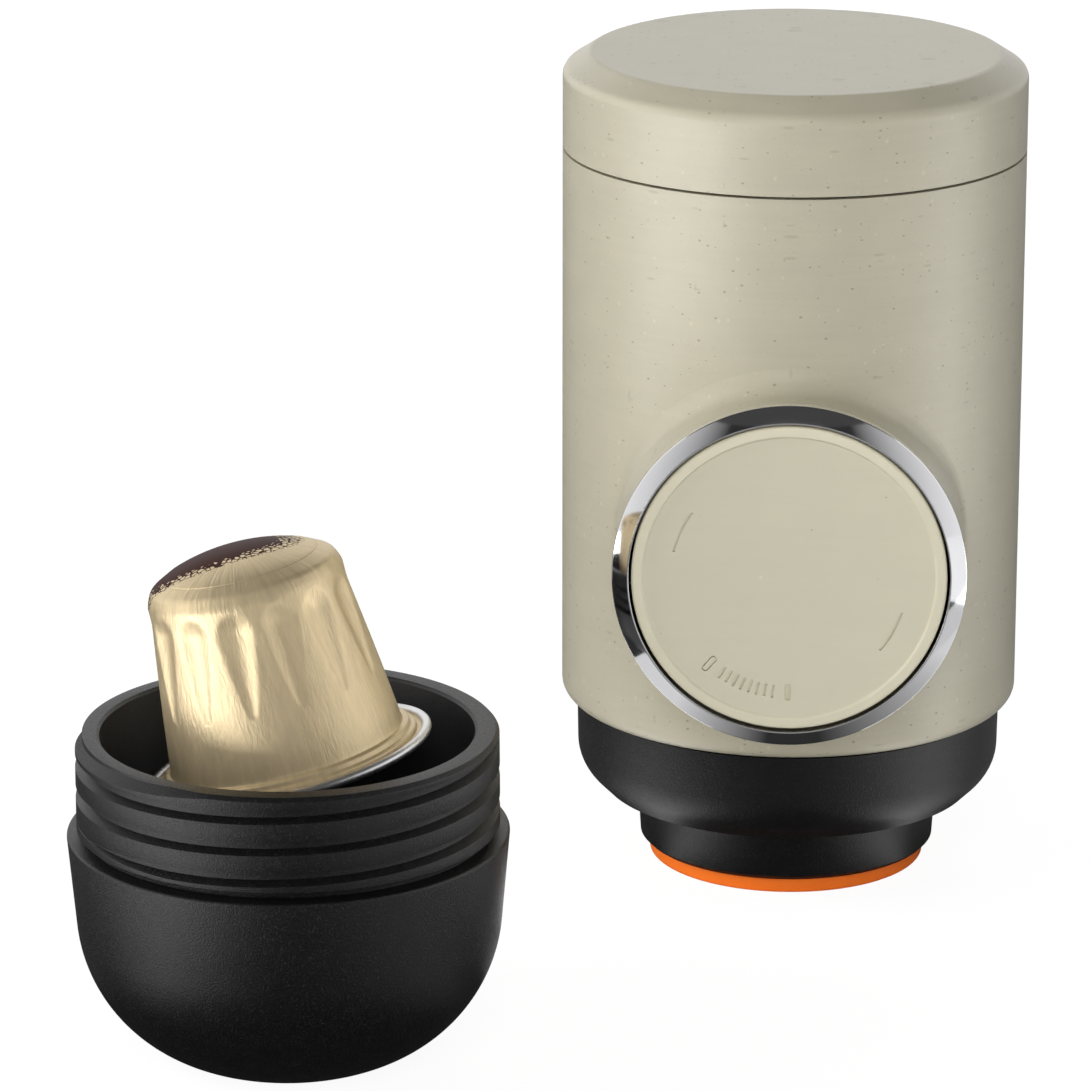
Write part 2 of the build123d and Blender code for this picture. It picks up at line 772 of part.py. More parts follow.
with BuildPart() as knob_skirt:
    skirt_radius = knob_radius - skirt_inset
    tube(knob_plane.offset(skirt_end), skirt_radius, skirt_radius - skirt_wall, knob_back - skirt_end)
    rear = knob_skirt.faces().sort_by(Axis.Y)[-1].edges()
    chamfer(rear, skirt_edge)

# ---------------------------------------------------------------- brewing end
with BuildPart() as chamber_carrier:
    tube(Plane.XY.offset(carrier_bottom), body_bore, carrier_hole, carrier_thickness)
    with BuildSketch(Plane.XY.offset(carrier_bottom)):
        with PolarLocations(chamber_screw_circle, chamber_screw_count, start_angle=screw_first_angle):
            Circle(screw_radius + screw_clearance)
        with Locations((-saddle_screw_x, saddle_screw_y), (saddle_screw_x, saddle_screw_y)):
            Circle(screw_radius)
    extrude(amount=carrier_thickness, mode=Mode.SUBTRACT)

with BuildPart() as brew_chamber:
    turned(
        Plane.XZ,
        Axis.Z,
        [
            (chamber_mouth_radius, chamber_bottom),
            (chamber_mouth_radius, chamber_bottom + chamber_lead_in),
            (chamber_shoulder_radius, chamber_shoulder),
            (chamber_crown_radius, chamber_ceiling),
            (duct_bore, chamber_ceiling),
            (duct_bore, chamber_top),
            (chamber_crown_radius - chamber_crown_round, chamber_top),
            (chamber_crown_radius + chamber_shoulder_rise, chamber_ceiling),
            (chamber_shoulder_radius + chamber_wall, chamber_shoulder + chamber_shoulder_rise),
            (carrier_hole - collar_clearance, carrier_top - carrier_clearance),
            (carrier_hole - collar_clearance, chamber_flange_top),
            (chamber_flange_radius, chamber_flange_top),
            (chamber_flange_radius, chamber_flange_bottom),
            (chamber_thread_radius, chamber_flange_bottom),
            (chamber_thread_radius, thread_bottom),
            (chamber_thread_radius - chamber_thread_wall, thread_bottom),
            (chamber_thread_radius - chamber_thread_wall, chamber_flange_bottom - chamber_thread_wall),
            (chamber_rim_radius, chamber_flange_bottom - chamber_thread_wall),
            (chamber_rim_radius, chamber_bottom),
        ],
    )
    with BuildSketch(Plane.XY.offset(chamber_flange_top - screw_engagement)):
        with PolarLocations(chamber_screw_circle, chamber_screw_count, start_angle=screw_first_angle):
            Circle(screw_radius)
    extrude(amount=screw_engagement, mode=Mode.SUBTRACT)

with BuildPart() as needle_plate:
    disc(Plane.XY.offset(chamber_ceiling - plate_thickness), needle_plate_radius, plate_thickness)
    for needle in range(needle_count):
        angle = math.radians(needle_first_angle + needle * 360 / needle_count)
        spot = (needle_ring * math.cos(angle), needle_ring * math.sin(angle), 0)
        with Locations(Location((spot[0], spot[1], chamber_ceiling - plate_thickness), (180, 0, 0))):
            Cone(needle_radius, needle_tip, needle_length, align=(Align.CENTER, Align.CENTER, Align.MIN))
    with BuildSketch(Plane.XY.offset(chamber_ceiling - plate_thickness)):
        with PolarLocations(needle_ring + needle_hole_offset, needle_count, start_angle=-needle_first_angle):
            Circle(plate_hole_radius)
        Circle(plate_hole_radius)
    extrude(amount=plate_thickness, mode=Mode.SUBTRACT)

with BuildPart() as chamber_gasket_ring:
    tube(Plane.XY.offset(gasket_bottom), chamber_rim_radius, chamber_mouth_radius, chamber_gasket)

with BuildPart() as chamber_screws:
    with BuildSketch(Plane.XY.offset(carrier_top)):
        with PolarLocations(chamber_screw_circle, chamber_screw_count, start_angle=screw_first_angle):
            Circle(screw_head_radius)
    extrude(amount=screw_head_height)
    with BuildSketch(Plane.XY.offset(chamber_flange_top - screw_engagement)):
        with PolarLocations(chamber_screw_circle, chamber_screw_count, start_angle=screw_first_angle):
            Circle(screw_radius)
    extrude(amount=screw_engagement + carrier_thickness)

with BuildPart() as saddle_screws:
    with BuildSketch(Plane.XY.offset(carrier_top + saddle_foot_thickness)):
        with Locations((-saddle_screw_x, saddle_screw_y), (saddle_screw_x, saddle_screw_y)):
            Circle(screw_head_radius)
    extrude(amount=screw_head_height)
    with BuildSketch(Plane.XY.offset(carrier_bottom)):
        with Locations((-saddle_screw_x, saddle_screw_y), (saddle_screw_x, saddle_screw_y)):
            Circle(screw_radius)
    extrude(amount=carrier_thickness + saddle_foot_thickness)

# ---------------------------------------------------------------- outlet head
with BuildPart() as head_seal_ring:
    tube(
        Plane.XY.offset(head_top + seal_squeeze),
        chamber_flange_radius - head_seal_inset,
        head_bore + head_seal_bore_gap,
        chamber_flange_bottom - head_top - 2 * seal_squeeze,
    )

with BuildPart() as outlet_shell:
    with BuildSketch(Plane.XZ):
        with BuildLine():
            round_top = (head_radius - head_draft, collar_top + head_round_rise)
            lip_edge = (head_lip_radius + head_lip_rise, collar_top + head_lip_rise)
            lip_foot = (head_lip_radius, collar_top)
            Line((head_radius, head_top), round_top)
            TangentArc(round_top, lip_edge, tangent=(0, -1))
            Line(lip_edge, lip_foot)
            Polyline(
                lip_foot,
                (collar_top_radius, collar_top),
                (collar_foot_radius, foot_height + collar_edge),
                (collar_foot_radius - collar_edge, foot_height),
                (spout_radius, foot_height),
                (spout_radius, foot_height + floor_thickness),
                (plate_seat_radius, plate_bottom - floor_seat),
                (plate_seat_radius, plate_bottom),
                (collar_bore, plate_bottom),
                (collar_bore, thread_bottom - thread_relief),
                (head_bore, thread_bottom - thread_relief),
                (head_bore, head_top),
                (head_bore + chamber_thread_wall, head_top),
                (head_bore + chamber_thread_wall, thread_bottom + thread_wall_root),
                (head_radius - head_wall - head_wall_taper, thread_bottom + thread_wall_root),
                (head_radius - head_wall, head_top),
                (head_radius, head_top),
            )
        make_face()
    revolve(axis=Axis.Z)

with BuildPart() as extraction_plate:
    disc(Plane.XY.offset(plate_bottom), collar_bore - plate_clearance, plate_thickness)
    with BuildSketch(Plane.XY.offset(plate_bottom)):
        with HexLocations(plate_hole_pitch, plate_hole_rows, plate_hole_rows):
            Circle(plate_hole_radius)
    extrude(amount=plate_thickness, mode=Mode.SUBTRACT)

with BuildPart() as foot_ring:
    tube(Plane.XY, foot_radius, foot_radius - foot_width, foot_height)
    foot_edge = foot_ring.edges().group_by(Axis.Z)[0].sort_by(SortBy.RADIUS)[-1]
    fillet(foot_edge, foot_round)

with BuildPart() as outlet_spout:
    turned(
        Plane.XZ,
        Axis.Z,
        [
            (spout_bore, foot_height + floor_thickness),
            (spout_radius, foot_height + floor_thickness),
            (spout_radius, foot_height),
            (spout_radius + spout_lip, foot_height),
            (spout_radius + spout_lip, foot_height - spout_lip_height),
            (spout_radius, foot_height - spout_lip_height),
            (spout_bore + spout_taper, foot_height - spout_drop),
            (spout_bore, foot_height - spout_drop),
        ],
    )

# ---------------------------------------------------------------- cup and capsule
with BuildPart() as cup:
    with BuildSketch(cup_section):
        with BuildLine():
            shoulder = (cup_shoulder_radius, cup_bowl_height)
            waist = (cup_waist_radius, cup_waist_height)
            base = (cup_base_radius, 0)
            side = Line(shoulder, waist)
            TangentArc(waist, base, tangent=side % 1)
            Line(base, (0, 0))
            Line((0, 0), (0, cup_floor))
            inner_base = (cup_inner_base_radius, cup_floor)
            inner_waist = (cup_bore_radius, cup_waist_height + cup_inner_waist_rise)
            Line((0, cup_floor), inner_base)
            inner_mouth = (cup_bore_radius, cup_rim - cup_mouth_bevel)
            Line(inner_waist, inner_mouth)
            TangentArc(inner_waist, inner_base, tangent=(0, -1))
            Polyline(
                inner_mouth,
                (cup_bore_radius + cup_mouth_bevel, cup_rim),
                (cup_lip_radius, cup_rim),
                (cup_lip_radius, cup_rim - cup_lip_height),
                (cup_neck_radius, cup_rim - cup_lip_height),
                (cup_neck_radius, cup_bowl_height),
                shoulder,
            )
        make_face()
    revolve(axis=cup_axis)

# the tool for one flute: a leaning cone with a round upper end, sunk into the wall
with BuildPart() as flute_cutter:
    flute_run = flute_head - flute_tip
    flute_swell = (flute_round - flute_tip_round) / flute_run.length
    flute_side = math.sqrt(1 - flute_swell**2)
    flute_plane = Plane(origin=flute_tip, x_dir=flute_run, z_dir=(0, 1, 0))
    with BuildSketch(flute_plane):
        with BuildLine():
            flute_start = (-flute_tip_round * flute_swell, 0)
            tip_touch = (-flute_tip_round * flute_swell, flute_tip_round * flute_side)
            head_touch = (flute_run.length - flute_round * flute_swell, flute_round * flute_side)
            flute_end = (flute_run.length + flute_round, 0)
            bed = Line(tip_touch, head_touch)
            TangentArc(head_touch, flute_end, tangent=bed % 1)
            Polyline(flute_end, flute_start, tip_touch)
        make_face()
    revolve(axis=Axis(flute_plane.origin, flute_plane.x_dir))

with BuildPart() as capsule_shell:
    turned(
        capsule_section,
        capsule_axis,
        [
            (0, capsule_height),
            (capsule_crown_radius * capsule_dome_share, capsule_height - capsule_dome_drop),
            (capsule_crown_radius, capsule_height - capsule_crown_drop),
            (capsule_neck_radius, capsule_shoulder_height + capsule_shoulder_inset),
            (capsule_shoulder_radius, capsule_bend),
            (capsule_base_radius, capsule_step_top),
            (capsule_base_radius + capsule_step_width, capsule_step_top),
            (capsule_base_radius + capsule_step_width, capsule_step_height),
            (capsule_base_radius + 2 * capsule_step_width, capsule_step_height),
            (capsule_base_radius + 2 * capsule_step_width, capsule_lid_thickness),
            (capsule_bead_circle, capsule_lid_thickness),
            (capsule_bead_circle, 0),
            (capsule_base_radius - capsule_wall, 0),
            (capsule_base_radius - capsule_wall, capsule_step_top),
            (capsule_shoulder_radius - capsule_wall, capsule_bend - capsule_wall),
            (capsule_neck_radius - capsule_wall, capsule_shoulder_height),
            (capsule_crown_radius, capsule_height - capsule_crown_drop - capsule_wall),
            (0, capsule_height - capsule_wall),
        ],
    )
    with BuildSketch(capsule_section):
        with Locations((capsule_bead_circle, capsule_bead_radius - capsule_bead_sink)):
            Circle(capsule_bead_radius)
    revolve(axis=capsule_axis)
    for flute in range(flute_count):
        turn = Rot(Z=flute_first_angle + flute * 360 / flute_count)
        add(capsule_plane.location * turn * flute_cutter.part, mode=Mode.SUBTRACT)

with BuildPart() as capsule_foil:
    disc(capsule_plane.offset(-foil_thickness), capsule_bead_circle - foil_inset, foil_thickness)

with BuildPart() as coffee_bed:
    bed_wall = capsule_wall + bed_clearance
    turned(
        capsule_section,
        capsule_axis,
        [
            (0, 0),
            (capsule_base_radius - bed_wall, 0),
            (capsule_base_radius - bed_wall, capsule_step_top - bed_drop),
            (capsule_shoulder_radius - bed_wall, capsule_bend - capsule_wall - bed_drop),
            (0, capsule_bend - capsule_wall - bed_drop),
        ],
    )

# ---------------------------------------------------------------- export
pieces = {
    "body_shell": body_shell,
    "bezel_ring": bezel_ring,
    "guide_sleeve": guide_sleeve,
    "base_ring": base_ring,
    "tank_socket": tank_socket,
    "bulkhead": bulkhead,
    "inlet_filter": inlet_filter,
    "inlet_hose": inlet_hose,
    "inlet_valve": inlet_valve,
    "pump_cylinder": pump_cylinder,
    "rod_bush": rod_bush,
    "lock_collar": lock_collar,
    "pump_gasket": pump_gasket,
    "manifold": manifold,
    "manifold_screws": manifold_screws,
    "relief_valve": relief_valve,
    "outlet_valve": outlet_valve,
    "delivery_duct": delivery_duct,
    "pump_saddle": pump_saddle,
    "saddle_screws": saddle_screws,
    "chamber_carrier": chamber_carrier,
    "brew_chamber": brew_chamber,
    "chamber_screws": chamber_screws,
    "needle_plate": needle_plate,
    "chamber_gasket_ring": chamber_gasket_ring,
    "return_spring": return_spring,
    "piston_rod": piston_rod,
    "rod_clip": rod_clip,
    "piston_head": piston_head,
    "piston_seals": piston_seals,
    "knob_cap": knob_cap,
    "knob_skirt": knob_skirt,
    "tank_seal_ring": tank_seal_ring,
    "tank_cap": tank_cap,
    "tank_liner": tank_liner,
    "head_seal_ring": head_seal_ring,
    "outlet_shell": outlet_shell,
    "extraction_plate": extraction_plate,
    "foot_ring": foot_ring,
    "outlet_spout": outlet_spout,
    "cup": cup,
    "capsule_shell": capsule_shell,
    "capsule_foil": capsule_foil,
    "coffee_bed": coffee_bed,
}

os.makedirs("parts", exist_ok=True)
for name, piece in pieces.items():
    piece.part.label = name
    export_step(piece.part, f"parts/{name}.step")
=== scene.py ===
import json
import math

import bmesh
import bpy
from bpy.props import FloatProperty, FloatVectorProperty, IntProperty, PointerProperty
from mathutils import Matrix, Vector


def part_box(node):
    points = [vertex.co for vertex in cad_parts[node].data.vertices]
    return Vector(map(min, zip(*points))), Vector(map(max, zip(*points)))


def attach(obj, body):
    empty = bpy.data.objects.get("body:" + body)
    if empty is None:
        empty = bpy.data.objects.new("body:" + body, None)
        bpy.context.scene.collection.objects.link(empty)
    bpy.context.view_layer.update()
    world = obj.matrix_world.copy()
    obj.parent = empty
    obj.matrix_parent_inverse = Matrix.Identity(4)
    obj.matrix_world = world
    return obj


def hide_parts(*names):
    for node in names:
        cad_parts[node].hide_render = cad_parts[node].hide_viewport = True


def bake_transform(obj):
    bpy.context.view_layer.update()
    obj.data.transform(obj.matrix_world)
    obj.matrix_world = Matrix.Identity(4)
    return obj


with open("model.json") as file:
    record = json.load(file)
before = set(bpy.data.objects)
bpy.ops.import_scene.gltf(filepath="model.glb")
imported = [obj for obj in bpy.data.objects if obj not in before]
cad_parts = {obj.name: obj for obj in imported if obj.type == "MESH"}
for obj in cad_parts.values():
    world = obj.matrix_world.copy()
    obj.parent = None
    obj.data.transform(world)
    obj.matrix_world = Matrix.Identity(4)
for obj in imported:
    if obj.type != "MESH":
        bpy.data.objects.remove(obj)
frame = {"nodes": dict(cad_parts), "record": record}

bl_info = {
    "name": "Handheld espresso maker",
    "version": (1, 0, 0),
    "blender": (4, 5, 0),
    "location": "View3D > Sidebar > Espresso maker",
    "description": "Gives the espresso maker, its cup and its capsule their finished shapes and materials",
    "category": "Object",
}

MM = 0.001
ROUND_STEPS = 256
CORNER_STEPS = 6
THREAD_STEPS = 120.0

# a Mix node's sockets for its two colours, and for what they make
FIRST, SECOND, MIXED = 6, 7, 2

# in millimetres, where two places use them; a pair is a radius and a height
BORE_RADIUS = 23.4
KNOB_FACE_RADIUS = 18.85
CAPSULE_WALL_FOOT = (14.85, 2.4)
CAPSULE_WALL_TOP = (12.5, 23.0)


def linear(code):
    """An sRGB hex value as the linear colour that a socket takes."""
    parts = [int(code[i:i + 2], 16) / 255 for i in (0, 2, 4)]
    return tuple(p / 12.92 if p <= 0.04045 else ((p + 0.055) / 1.055) ** 2.4 for p in parts)


def add_node(tree, kind, links=None, **settings):
    """A node with its settings.

    links maps each input to a value, to one output of another node, or to a node for its first output.
    """
    made = tree.nodes.new(kind)
    for name, value in settings.items():
        setattr(made, name, value)
    for name, value in (links or {}).items():
        socket = made.inputs[name]
        if isinstance(value, bpy.types.Node):
            value = value.outputs[0]
        if isinstance(value, bpy.types.NodeSocket):
            tree.links.new(value, socket)
        else:
            socket.default_value = value
    return made


# ---------------------------------------------------------------- sizes and colours
def colour_setting(name, description, code):
    """A colour that a user may change, from its sRGB hex value."""
    return FloatVectorProperty(
        name=name, description=description, subtype="COLOR", size=3, min=0, max=1, default=linear(code))


def length_setting(name, description, size, low=0.0, high=100.0):
    """A length that a user may change, given with its limits in millimetres."""
    return FloatProperty(
        name=name, description=description, unit="LENGTH", default=size * MM, min=low * MM, max=high * MM)


def angle_setting(name, description, degrees):
    """An angle up to half a turn that a user may change, given in degrees."""
    return FloatProperty(
        name=name, description=description, subtype="ANGLE", default=math.radians(degrees),
        min=0, max=math.pi)


def power_setting(name, description, watts):
    """The power of a lamp that a user may change."""
    return FloatProperty(name=name, description=description, subtype="POWER", default=watts, min=0)


class ShellSettings(bpy.types.PropertyGroup):
    beige: colour_setting("Body colour", "Colour of the moulded body and tank cap", "BEB8A2")
    fleck: colour_setting("Fleck colour", "Colour of the dark plant fibres in the body", "6E6550")
    fleck_spacing: FloatProperty(
        name="Fleck spacing", description="Mean distance between flecks, in millimetres",
        default=1.1, min=0.5, max=10)
    black: colour_setting("Black", "Colour of the grained black plastic", "101011")
    orange: colour_setting("Foot colour", "Colour of the silicone foot ring", "FF7A1E")


class KnobSettings(bpy.types.PropertyGroup):
    beige: colour_setting("Knob colour", "Colour of the knob's satin face", "D6D0B8")
    mark_radius: length_setting("Mark ring", "Radius of the ring that the marks stand on", 15.6, 5, 18)
    mark_depth: length_setting("Mark depth", "How deep the marks are cut into the face", 0.45, 0.02, 0.6)
    tick_count: IntProperty(
        name="Ticks", description="Short marks between the two stops", default=8, min=2, max=30)
    tick_step: angle_setting("Tick step", "Angle from one tick to the next", 3.73)
    lock_turn: angle_setting("Lock turn", "Angle between the two stop marks", 41)


class CupSettings(bpy.types.PropertyGroup):
    crest_radius: length_setting("Thread crest", "Outer radius of the neck's thread", 26.5)
    groove_depth: length_setting("Groove depth", "Depth of the groove between two turns", 1.1)
    groove_width: length_setting("Groove width", "Height of the groove's flat bottom", 1.15)
    flank: length_setting("Flank", "Height of the sloping flank under the groove", 0.6)
    pitch: length_setting("Pitch", "Height of one turn of the neck's thread", 4.0)


class CapsuleSettings(bpy.types.PropertyGroup):
    gold: colour_setting("Gold", "Colour of the lacquered aluminium", "E8D3AA")
    crown: colour_setting("Crown", "Colour of the lacquer on the crown", "36170F")
    flute_count: IntProperty(name="Flutes", description="Flutes round the wall", default=14, min=4, max=40)
    flute_depth: length_setting("Flute depth", "Depth of a flute under its round head", 0.62)
    flute_turn: angle_setting("First flute", "Angle of the first flute", 9.6)


class StageSettings(bpy.types.PropertyGroup):
    floor: colour_setting("Floor", "Colour of the floor", "F4F4F3")
    key: power_setting("Key light", "Power of the left light", 4.5)
    fill: power_setting("Rear light", "Power of the light behind", 3.0)
    front: power_setting("Front light", "Power of the front light", 4.2)
    top: power_setting("Top light", "Power of the light above", 0.4)


# ---------------------------------------------------------------- materials
def existing(name, surface, *sizes):
    """The material of that name, which is made the first time round what the surface function returns."""
    made = bpy.data.materials.get(name)
    if not made:
        made = bpy.data.materials.new(name)
        made.use_nodes = True
        tree = made.node_tree
        tree.nodes.clear()
        add_node(tree, "ShaderNodeOutputMaterial", {"Surface": surface(tree, *sizes)})
    return made


def millimetres(tree, scale=(1, 1, 1), centre=(0, 0, 0)):
    """The piece's own coordinates in millimetres from a centre, stretched by scale."""
    place = add_node(tree, "ShaderNodeTexCoord")
    return add_node(tree, "ShaderNodeMapping", {
        "Vector": place.outputs["Object"],
        "Location": tuple(-c / MM for c in centre),
        "Scale": tuple(s / MM for s in scale)})


def flecks(tree, spacing, size, share, stretch=(1, 1, 1)):
    """A mask of small flecks: one cell in so many holds one, and each has its own size."""
    cells = add_node(tree, "ShaderNodeTexVoronoi", {
        "Vector": millimetres(tree, stretch),
        "Scale": 1 / spacing, "Randomness": 1.0}, feature="F1")
    chance = add_node(tree, "ShaderNodeSeparateColor", {"Color": cells.outputs["Color"]})
    reach = add_node(tree, "ShaderNodeMapRange", {
        "Value": chance.outputs["Red"], "From Min": 1 - share, "From Max": 1.0,
        "To Min": 0.0, "To Max": size / spacing})
    near = add_node(tree, "ShaderNodeMath", {
        0: reach, 1: cells.outputs["Distance"]}, operation="SUBTRACT")
    return add_node(tree, "ShaderNodeMapRange", {
        "Value": near, "From Min": 0.0, "From Max": 0.25 * size / spacing})


def shade(colour, factor=1.0):
    """The colour made darker or paler by a factor, with the alpha that a socket takes."""
    return (*(min(1.0, c * factor) for c in colour), 1.0)


def fibre_plastic(tree, colour, fleck_colour, spacing, roughness, grain, flow_depth, face_radius=0.0):
    """Polypropylene with ground plant fibre, injection moulded against a fine matt tool.

    The eye sees a warm stone colour with faint level flow lines, small dark and pale flecks,
    and a broad soft sheen from the resin that floats to the skin, drawn as a satin coat.
    """
    flow = add_node(tree, "ShaderNodeTexNoise", {
        "Vector": millimetres(tree, (0.05, 0.05, 0.9)), "Scale": 1.0, "Detail": 4.0, "Roughness": 0.6})
    cloud = add_node(tree, "ShaderNodeTexNoise", {
        "Vector": millimetres(tree), "Scale": 0.16, "Detail": 3.0})
    tint = add_node(tree, "ShaderNodeMath", {0: flow, 1: cloud}, operation="ADD")
    tone = add_node(tree, "ShaderNodeMapRange", {"Value": tint, "From Min": 0.7, "From Max": 1.3})
    base = add_node(tree, "ShaderNodeMix", {
        "Factor": tone, FIRST: shade(colour, 1 - flow_depth), SECOND: shade(colour, 1 + flow_depth)},
        data_type="RGBA")
    pale, dark = shade(colour, 1.3), shade(fleck_colour)
    for strength, second, mask in (
        (0.4, pale, flecks(tree, spacing * 1.3, 0.36, 0.35, (1.2, 1.0, 1.0))),
        (0.16, dark, flecks(tree, spacing * 0.4, 0.13, 0.4)),
        (0.22, dark, flecks(tree, spacing * 2.4, 0.62, 0.4, (0.45, 0.6, 1.9))),
        (0.16, dark, flecks(tree, spacing * 2.9, 0.55, 0.35, (1.8, 1.5, 0.5))),
        (0.52, dark, flecks(tree, spacing, 0.27, 0.4, (1.0, 1.0, 1.5))),
    ):
        amount = add_node(tree, "ShaderNodeMath", {0: mask, 1: strength}, operation="MULTIPLY")
        base = add_node(tree, "ShaderNodeMix", {
            "Factor": amount, FIRST: base.outputs[MIXED], SECOND: second}, data_type="RGBA")
    if face_radius:
        # the band outside the face radius is painted paler: a painted highlight for the light that the knob's
        # sloping rim catches
        low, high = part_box("knob_cap")
        flat = millimetres(tree, (1, 0, 1), (0, 0, (low.z + high.z) / 2))
        away = add_node(tree, "ShaderNodeVectorMath", {0: flat}, operation="LENGTH")
        rim = add_node(tree, "ShaderNodeMapRange", {
            "Value": away.outputs["Value"], "From Min": face_radius, "From Max": face_radius + 0.25})
        base = add_node(tree, "ShaderNodeMix", {
            "Factor": rim, FIRST: base.outputs[MIXED], SECOND: shade(colour, 1.12)}, data_type="RGBA")
    # spark-eroded tool grain, about 0.12 mm, drawn at 0.2 mm so that it shows
    tool = add_node(tree, "ShaderNodeTexNoise", {
        "Vector": millimetres(tree), "Scale": 5.0, "Detail": 3.0, "Roughness": 0.6})
    bump = add_node(tree, "ShaderNodeBump", {"Strength": grain, "Distance": 0.03 * MM, "Height": tool})
    rough = add_node(tree, "ShaderNodeMapRange", {
        "Value": flow, "To Min": roughness - 0.04, "To Max": roughness + 0.05})
    return add_node(tree, "ShaderNodeBsdfPrincipled", {
        "Base Color": base.outputs[MIXED], "Roughness": rough, "IOR": 1.49, "Coat Weight": 0.9,
        "Coat Roughness": roughness - 0.04, "Coat IOR": 1.5, "Normal": bump})


def grained_black(tree, colour, roughness, grain, bore_radius=0.0):
    """Black polypropylene moulded in a spark-eroded tool.

    The eye sees deep black that turns grey along broad soft highlights, broken up by a fine grit.
    Inside the cup's mouth the black is painted paler: painted light for the light that the deep bore shuts
    out.
    """
    # the grit is about 0.1 mm, drawn at 0.23 mm so that it shows
    grit = add_node(tree, "ShaderNodeTexNoise", {
        "Vector": millimetres(tree), "Scale": 4.4, "Detail": 2.0, "Roughness": 0.75})
    worn = add_node(tree, "ShaderNodeTexNoise", {
        "Vector": millimetres(tree, (0.15, 0.15, 0.6)), "Scale": 1.0, "Detail": 3.0})
    # the tips of the grit are rubbed a little paler than the hollows
    tips = add_node(tree, "ShaderNodeMapRange", {
        "Value": grit, "From Min": 0.57, "From Max": 0.7, "To Max": grain})
    skin = add_node(tree, "ShaderNodeMix", {
        "Factor": worn, FIRST: shade(colour, 0.6), SECOND: shade(colour)}, data_type="RGBA")
    base = add_node(tree, "ShaderNodeMix", {
        "Factor": tips, FIRST: skin.outputs[MIXED], SECOND: shade(colour, 11)}, data_type="RGBA")
    # inside the bore the black is painted paler, as painted light where little light reaches
    if bore_radius:
        low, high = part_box("cup")
        mouth = millimetres(tree, centre=((low.x + high.x) / 2, (low.y + high.y) / 2, 0))
        axes = add_node(tree, "ShaderNodeSeparateXYZ", {"Vector": mouth})
        flat = add_node(tree, "ShaderNodeCombineXYZ", {"X": axes.outputs["X"], "Y": axes.outputs["Y"]})
        away = add_node(tree, "ShaderNodeVectorMath", {0: flat}, operation="LENGTH")
        inside = add_node(tree, "ShaderNodeMapRange", {
            "Value": away.outputs["Value"], "From Min": bore_radius, "From Max": bore_radius + 0.3,
            "To Min": 1.0, "To Max": 0.0})
        # above 18 mm the bowl's outer side is wider than the bore, so only the inner side gets the painted
        # light
        high_up = add_node(tree, "ShaderNodeMapRange", {
            "Value": axes.outputs["Z"], "From Min": 18.0, "From Max": 22.0})
        painted_bore_light = add_node(tree, "ShaderNodeMath", {0: inside, 1: high_up}, operation="MULTIPLY")
        base = add_node(tree, "ShaderNodeMix", {
            "Factor": painted_bore_light, FIRST: base.outputs[MIXED], SECOND: shade(colour, 6)}, data_type="RGBA")
    bump = add_node(tree, "ShaderNodeBump", {"Strength": grain, "Distance": 0.2 * MM, "Height": grit})
    rough = add_node(tree, "ShaderNodeMapRange", {
        "Value": grit, "From Min": 0.35, "From Max": 0.65,
        "To Min": roughness - 0.1, "To Max": roughness + 0.06})
    return add_node(tree, "ShaderNodeBsdfPrincipled", {
        "Base Color": base.outputs[MIXED], "Roughness": rough, "IOR": 1.49, "Normal": bump})


def chrome_plate(tree):
    """Decorative chrome over moulded ABS, polished. The eye sees a mirror with a faint haze."""
    haze = add_node(tree, "ShaderNodeTexNoise", {"Vector": millimetres(tree), "Scale": 0.5, "Detail": 2.0})
    rough = add_node(tree, "ShaderNodeMapRange", {
        "Value": haze, "To Min": 0.05, "To Max": 0.09})
    return add_node(tree, "ShaderNodeBsdfPrincipled", {
        "Base Color": shade(linear("E9E9EB")), "Metallic": 1.0, "Roughness": rough})


def moulded_silicone(tree, colour, roughness, clear):
    """Silicone rubber from a satin mould. The eye sees an even colour that light enters a little."""
    bloom = add_node(tree, "ShaderNodeTexNoise", {"Vector": millimetres(tree), "Scale": 0.8, "Detail": 4.0})
    base = add_node(tree, "ShaderNodeMix", {
        "Factor": bloom, FIRST: shade(colour, 0.93), SECOND: shade(colour, 1.04)}, data_type="RGBA")
    skin = add_node(tree, "ShaderNodeTexNoise", {"Vector": millimetres(tree), "Scale": 6.0, "Detail": 2.0})
    bump = add_node(tree, "ShaderNodeBump", {"Strength": 0.15, "Distance": 0.03 * MM, "Height": skin})
    return add_node(tree, "ShaderNodeBsdfPrincipled", {
        "Base Color": base.outputs[MIXED], "Roughness": roughness, "IOR": 1.41,
        "Transmission Weight": clear, "Normal": bump})


def clear_plastic(tree, colour, roughness, clear):
    """Copolyester, moulded and lightly smoked. The eye looks through it and sees its edges darker."""
    drawn = add_node(tree, "ShaderNodeTexNoise", {
        "Vector": millimetres(tree, (0.3, 0.3, 0.05)), "Scale": 1.0, "Detail": 3.0})
    rough = add_node(tree, "ShaderNodeMapRange", {
        "Value": drawn, "To Min": roughness - 0.03, "To Max": roughness + 0.05})
    base = add_node(tree, "ShaderNodeMix", {
        "Factor": drawn, FIRST: shade(colour), SECOND: shade(colour, 1.1)}, data_type="RGBA")
    return add_node(tree, "ShaderNodeBsdfPrincipled", {
        "Base Color": base.outputs[MIXED], "Roughness": rough, "IOR": 1.57, "Transmission Weight": clear})


def satin_steel(tree):
    """Stainless steel, turned or stamped and left satin. The eye sees fine tool lines in a soft mirror."""
    lines = add_node(tree, "ShaderNodeTexNoise", {
        "Vector": millimetres(tree, (6.0, 0.4, 6.0)), "Scale": 1.0, "Detail": 3.0})
    rough = add_node(tree, "ShaderNodeMapRange", {
        "Value": lines, "To Min": 0.2, "To Max": 0.36})
    bump = add_node(tree, "ShaderNodeBump", {
        "Strength": 0.2, "Distance": 0.02 * MM, "Height": lines})
    return add_node(tree, "ShaderNodeBsdfPrincipled", {
        "Base Color": shade(linear("C9C8C6")), "Metallic": 1.0, "Roughness": rough,
        "Normal": bump})


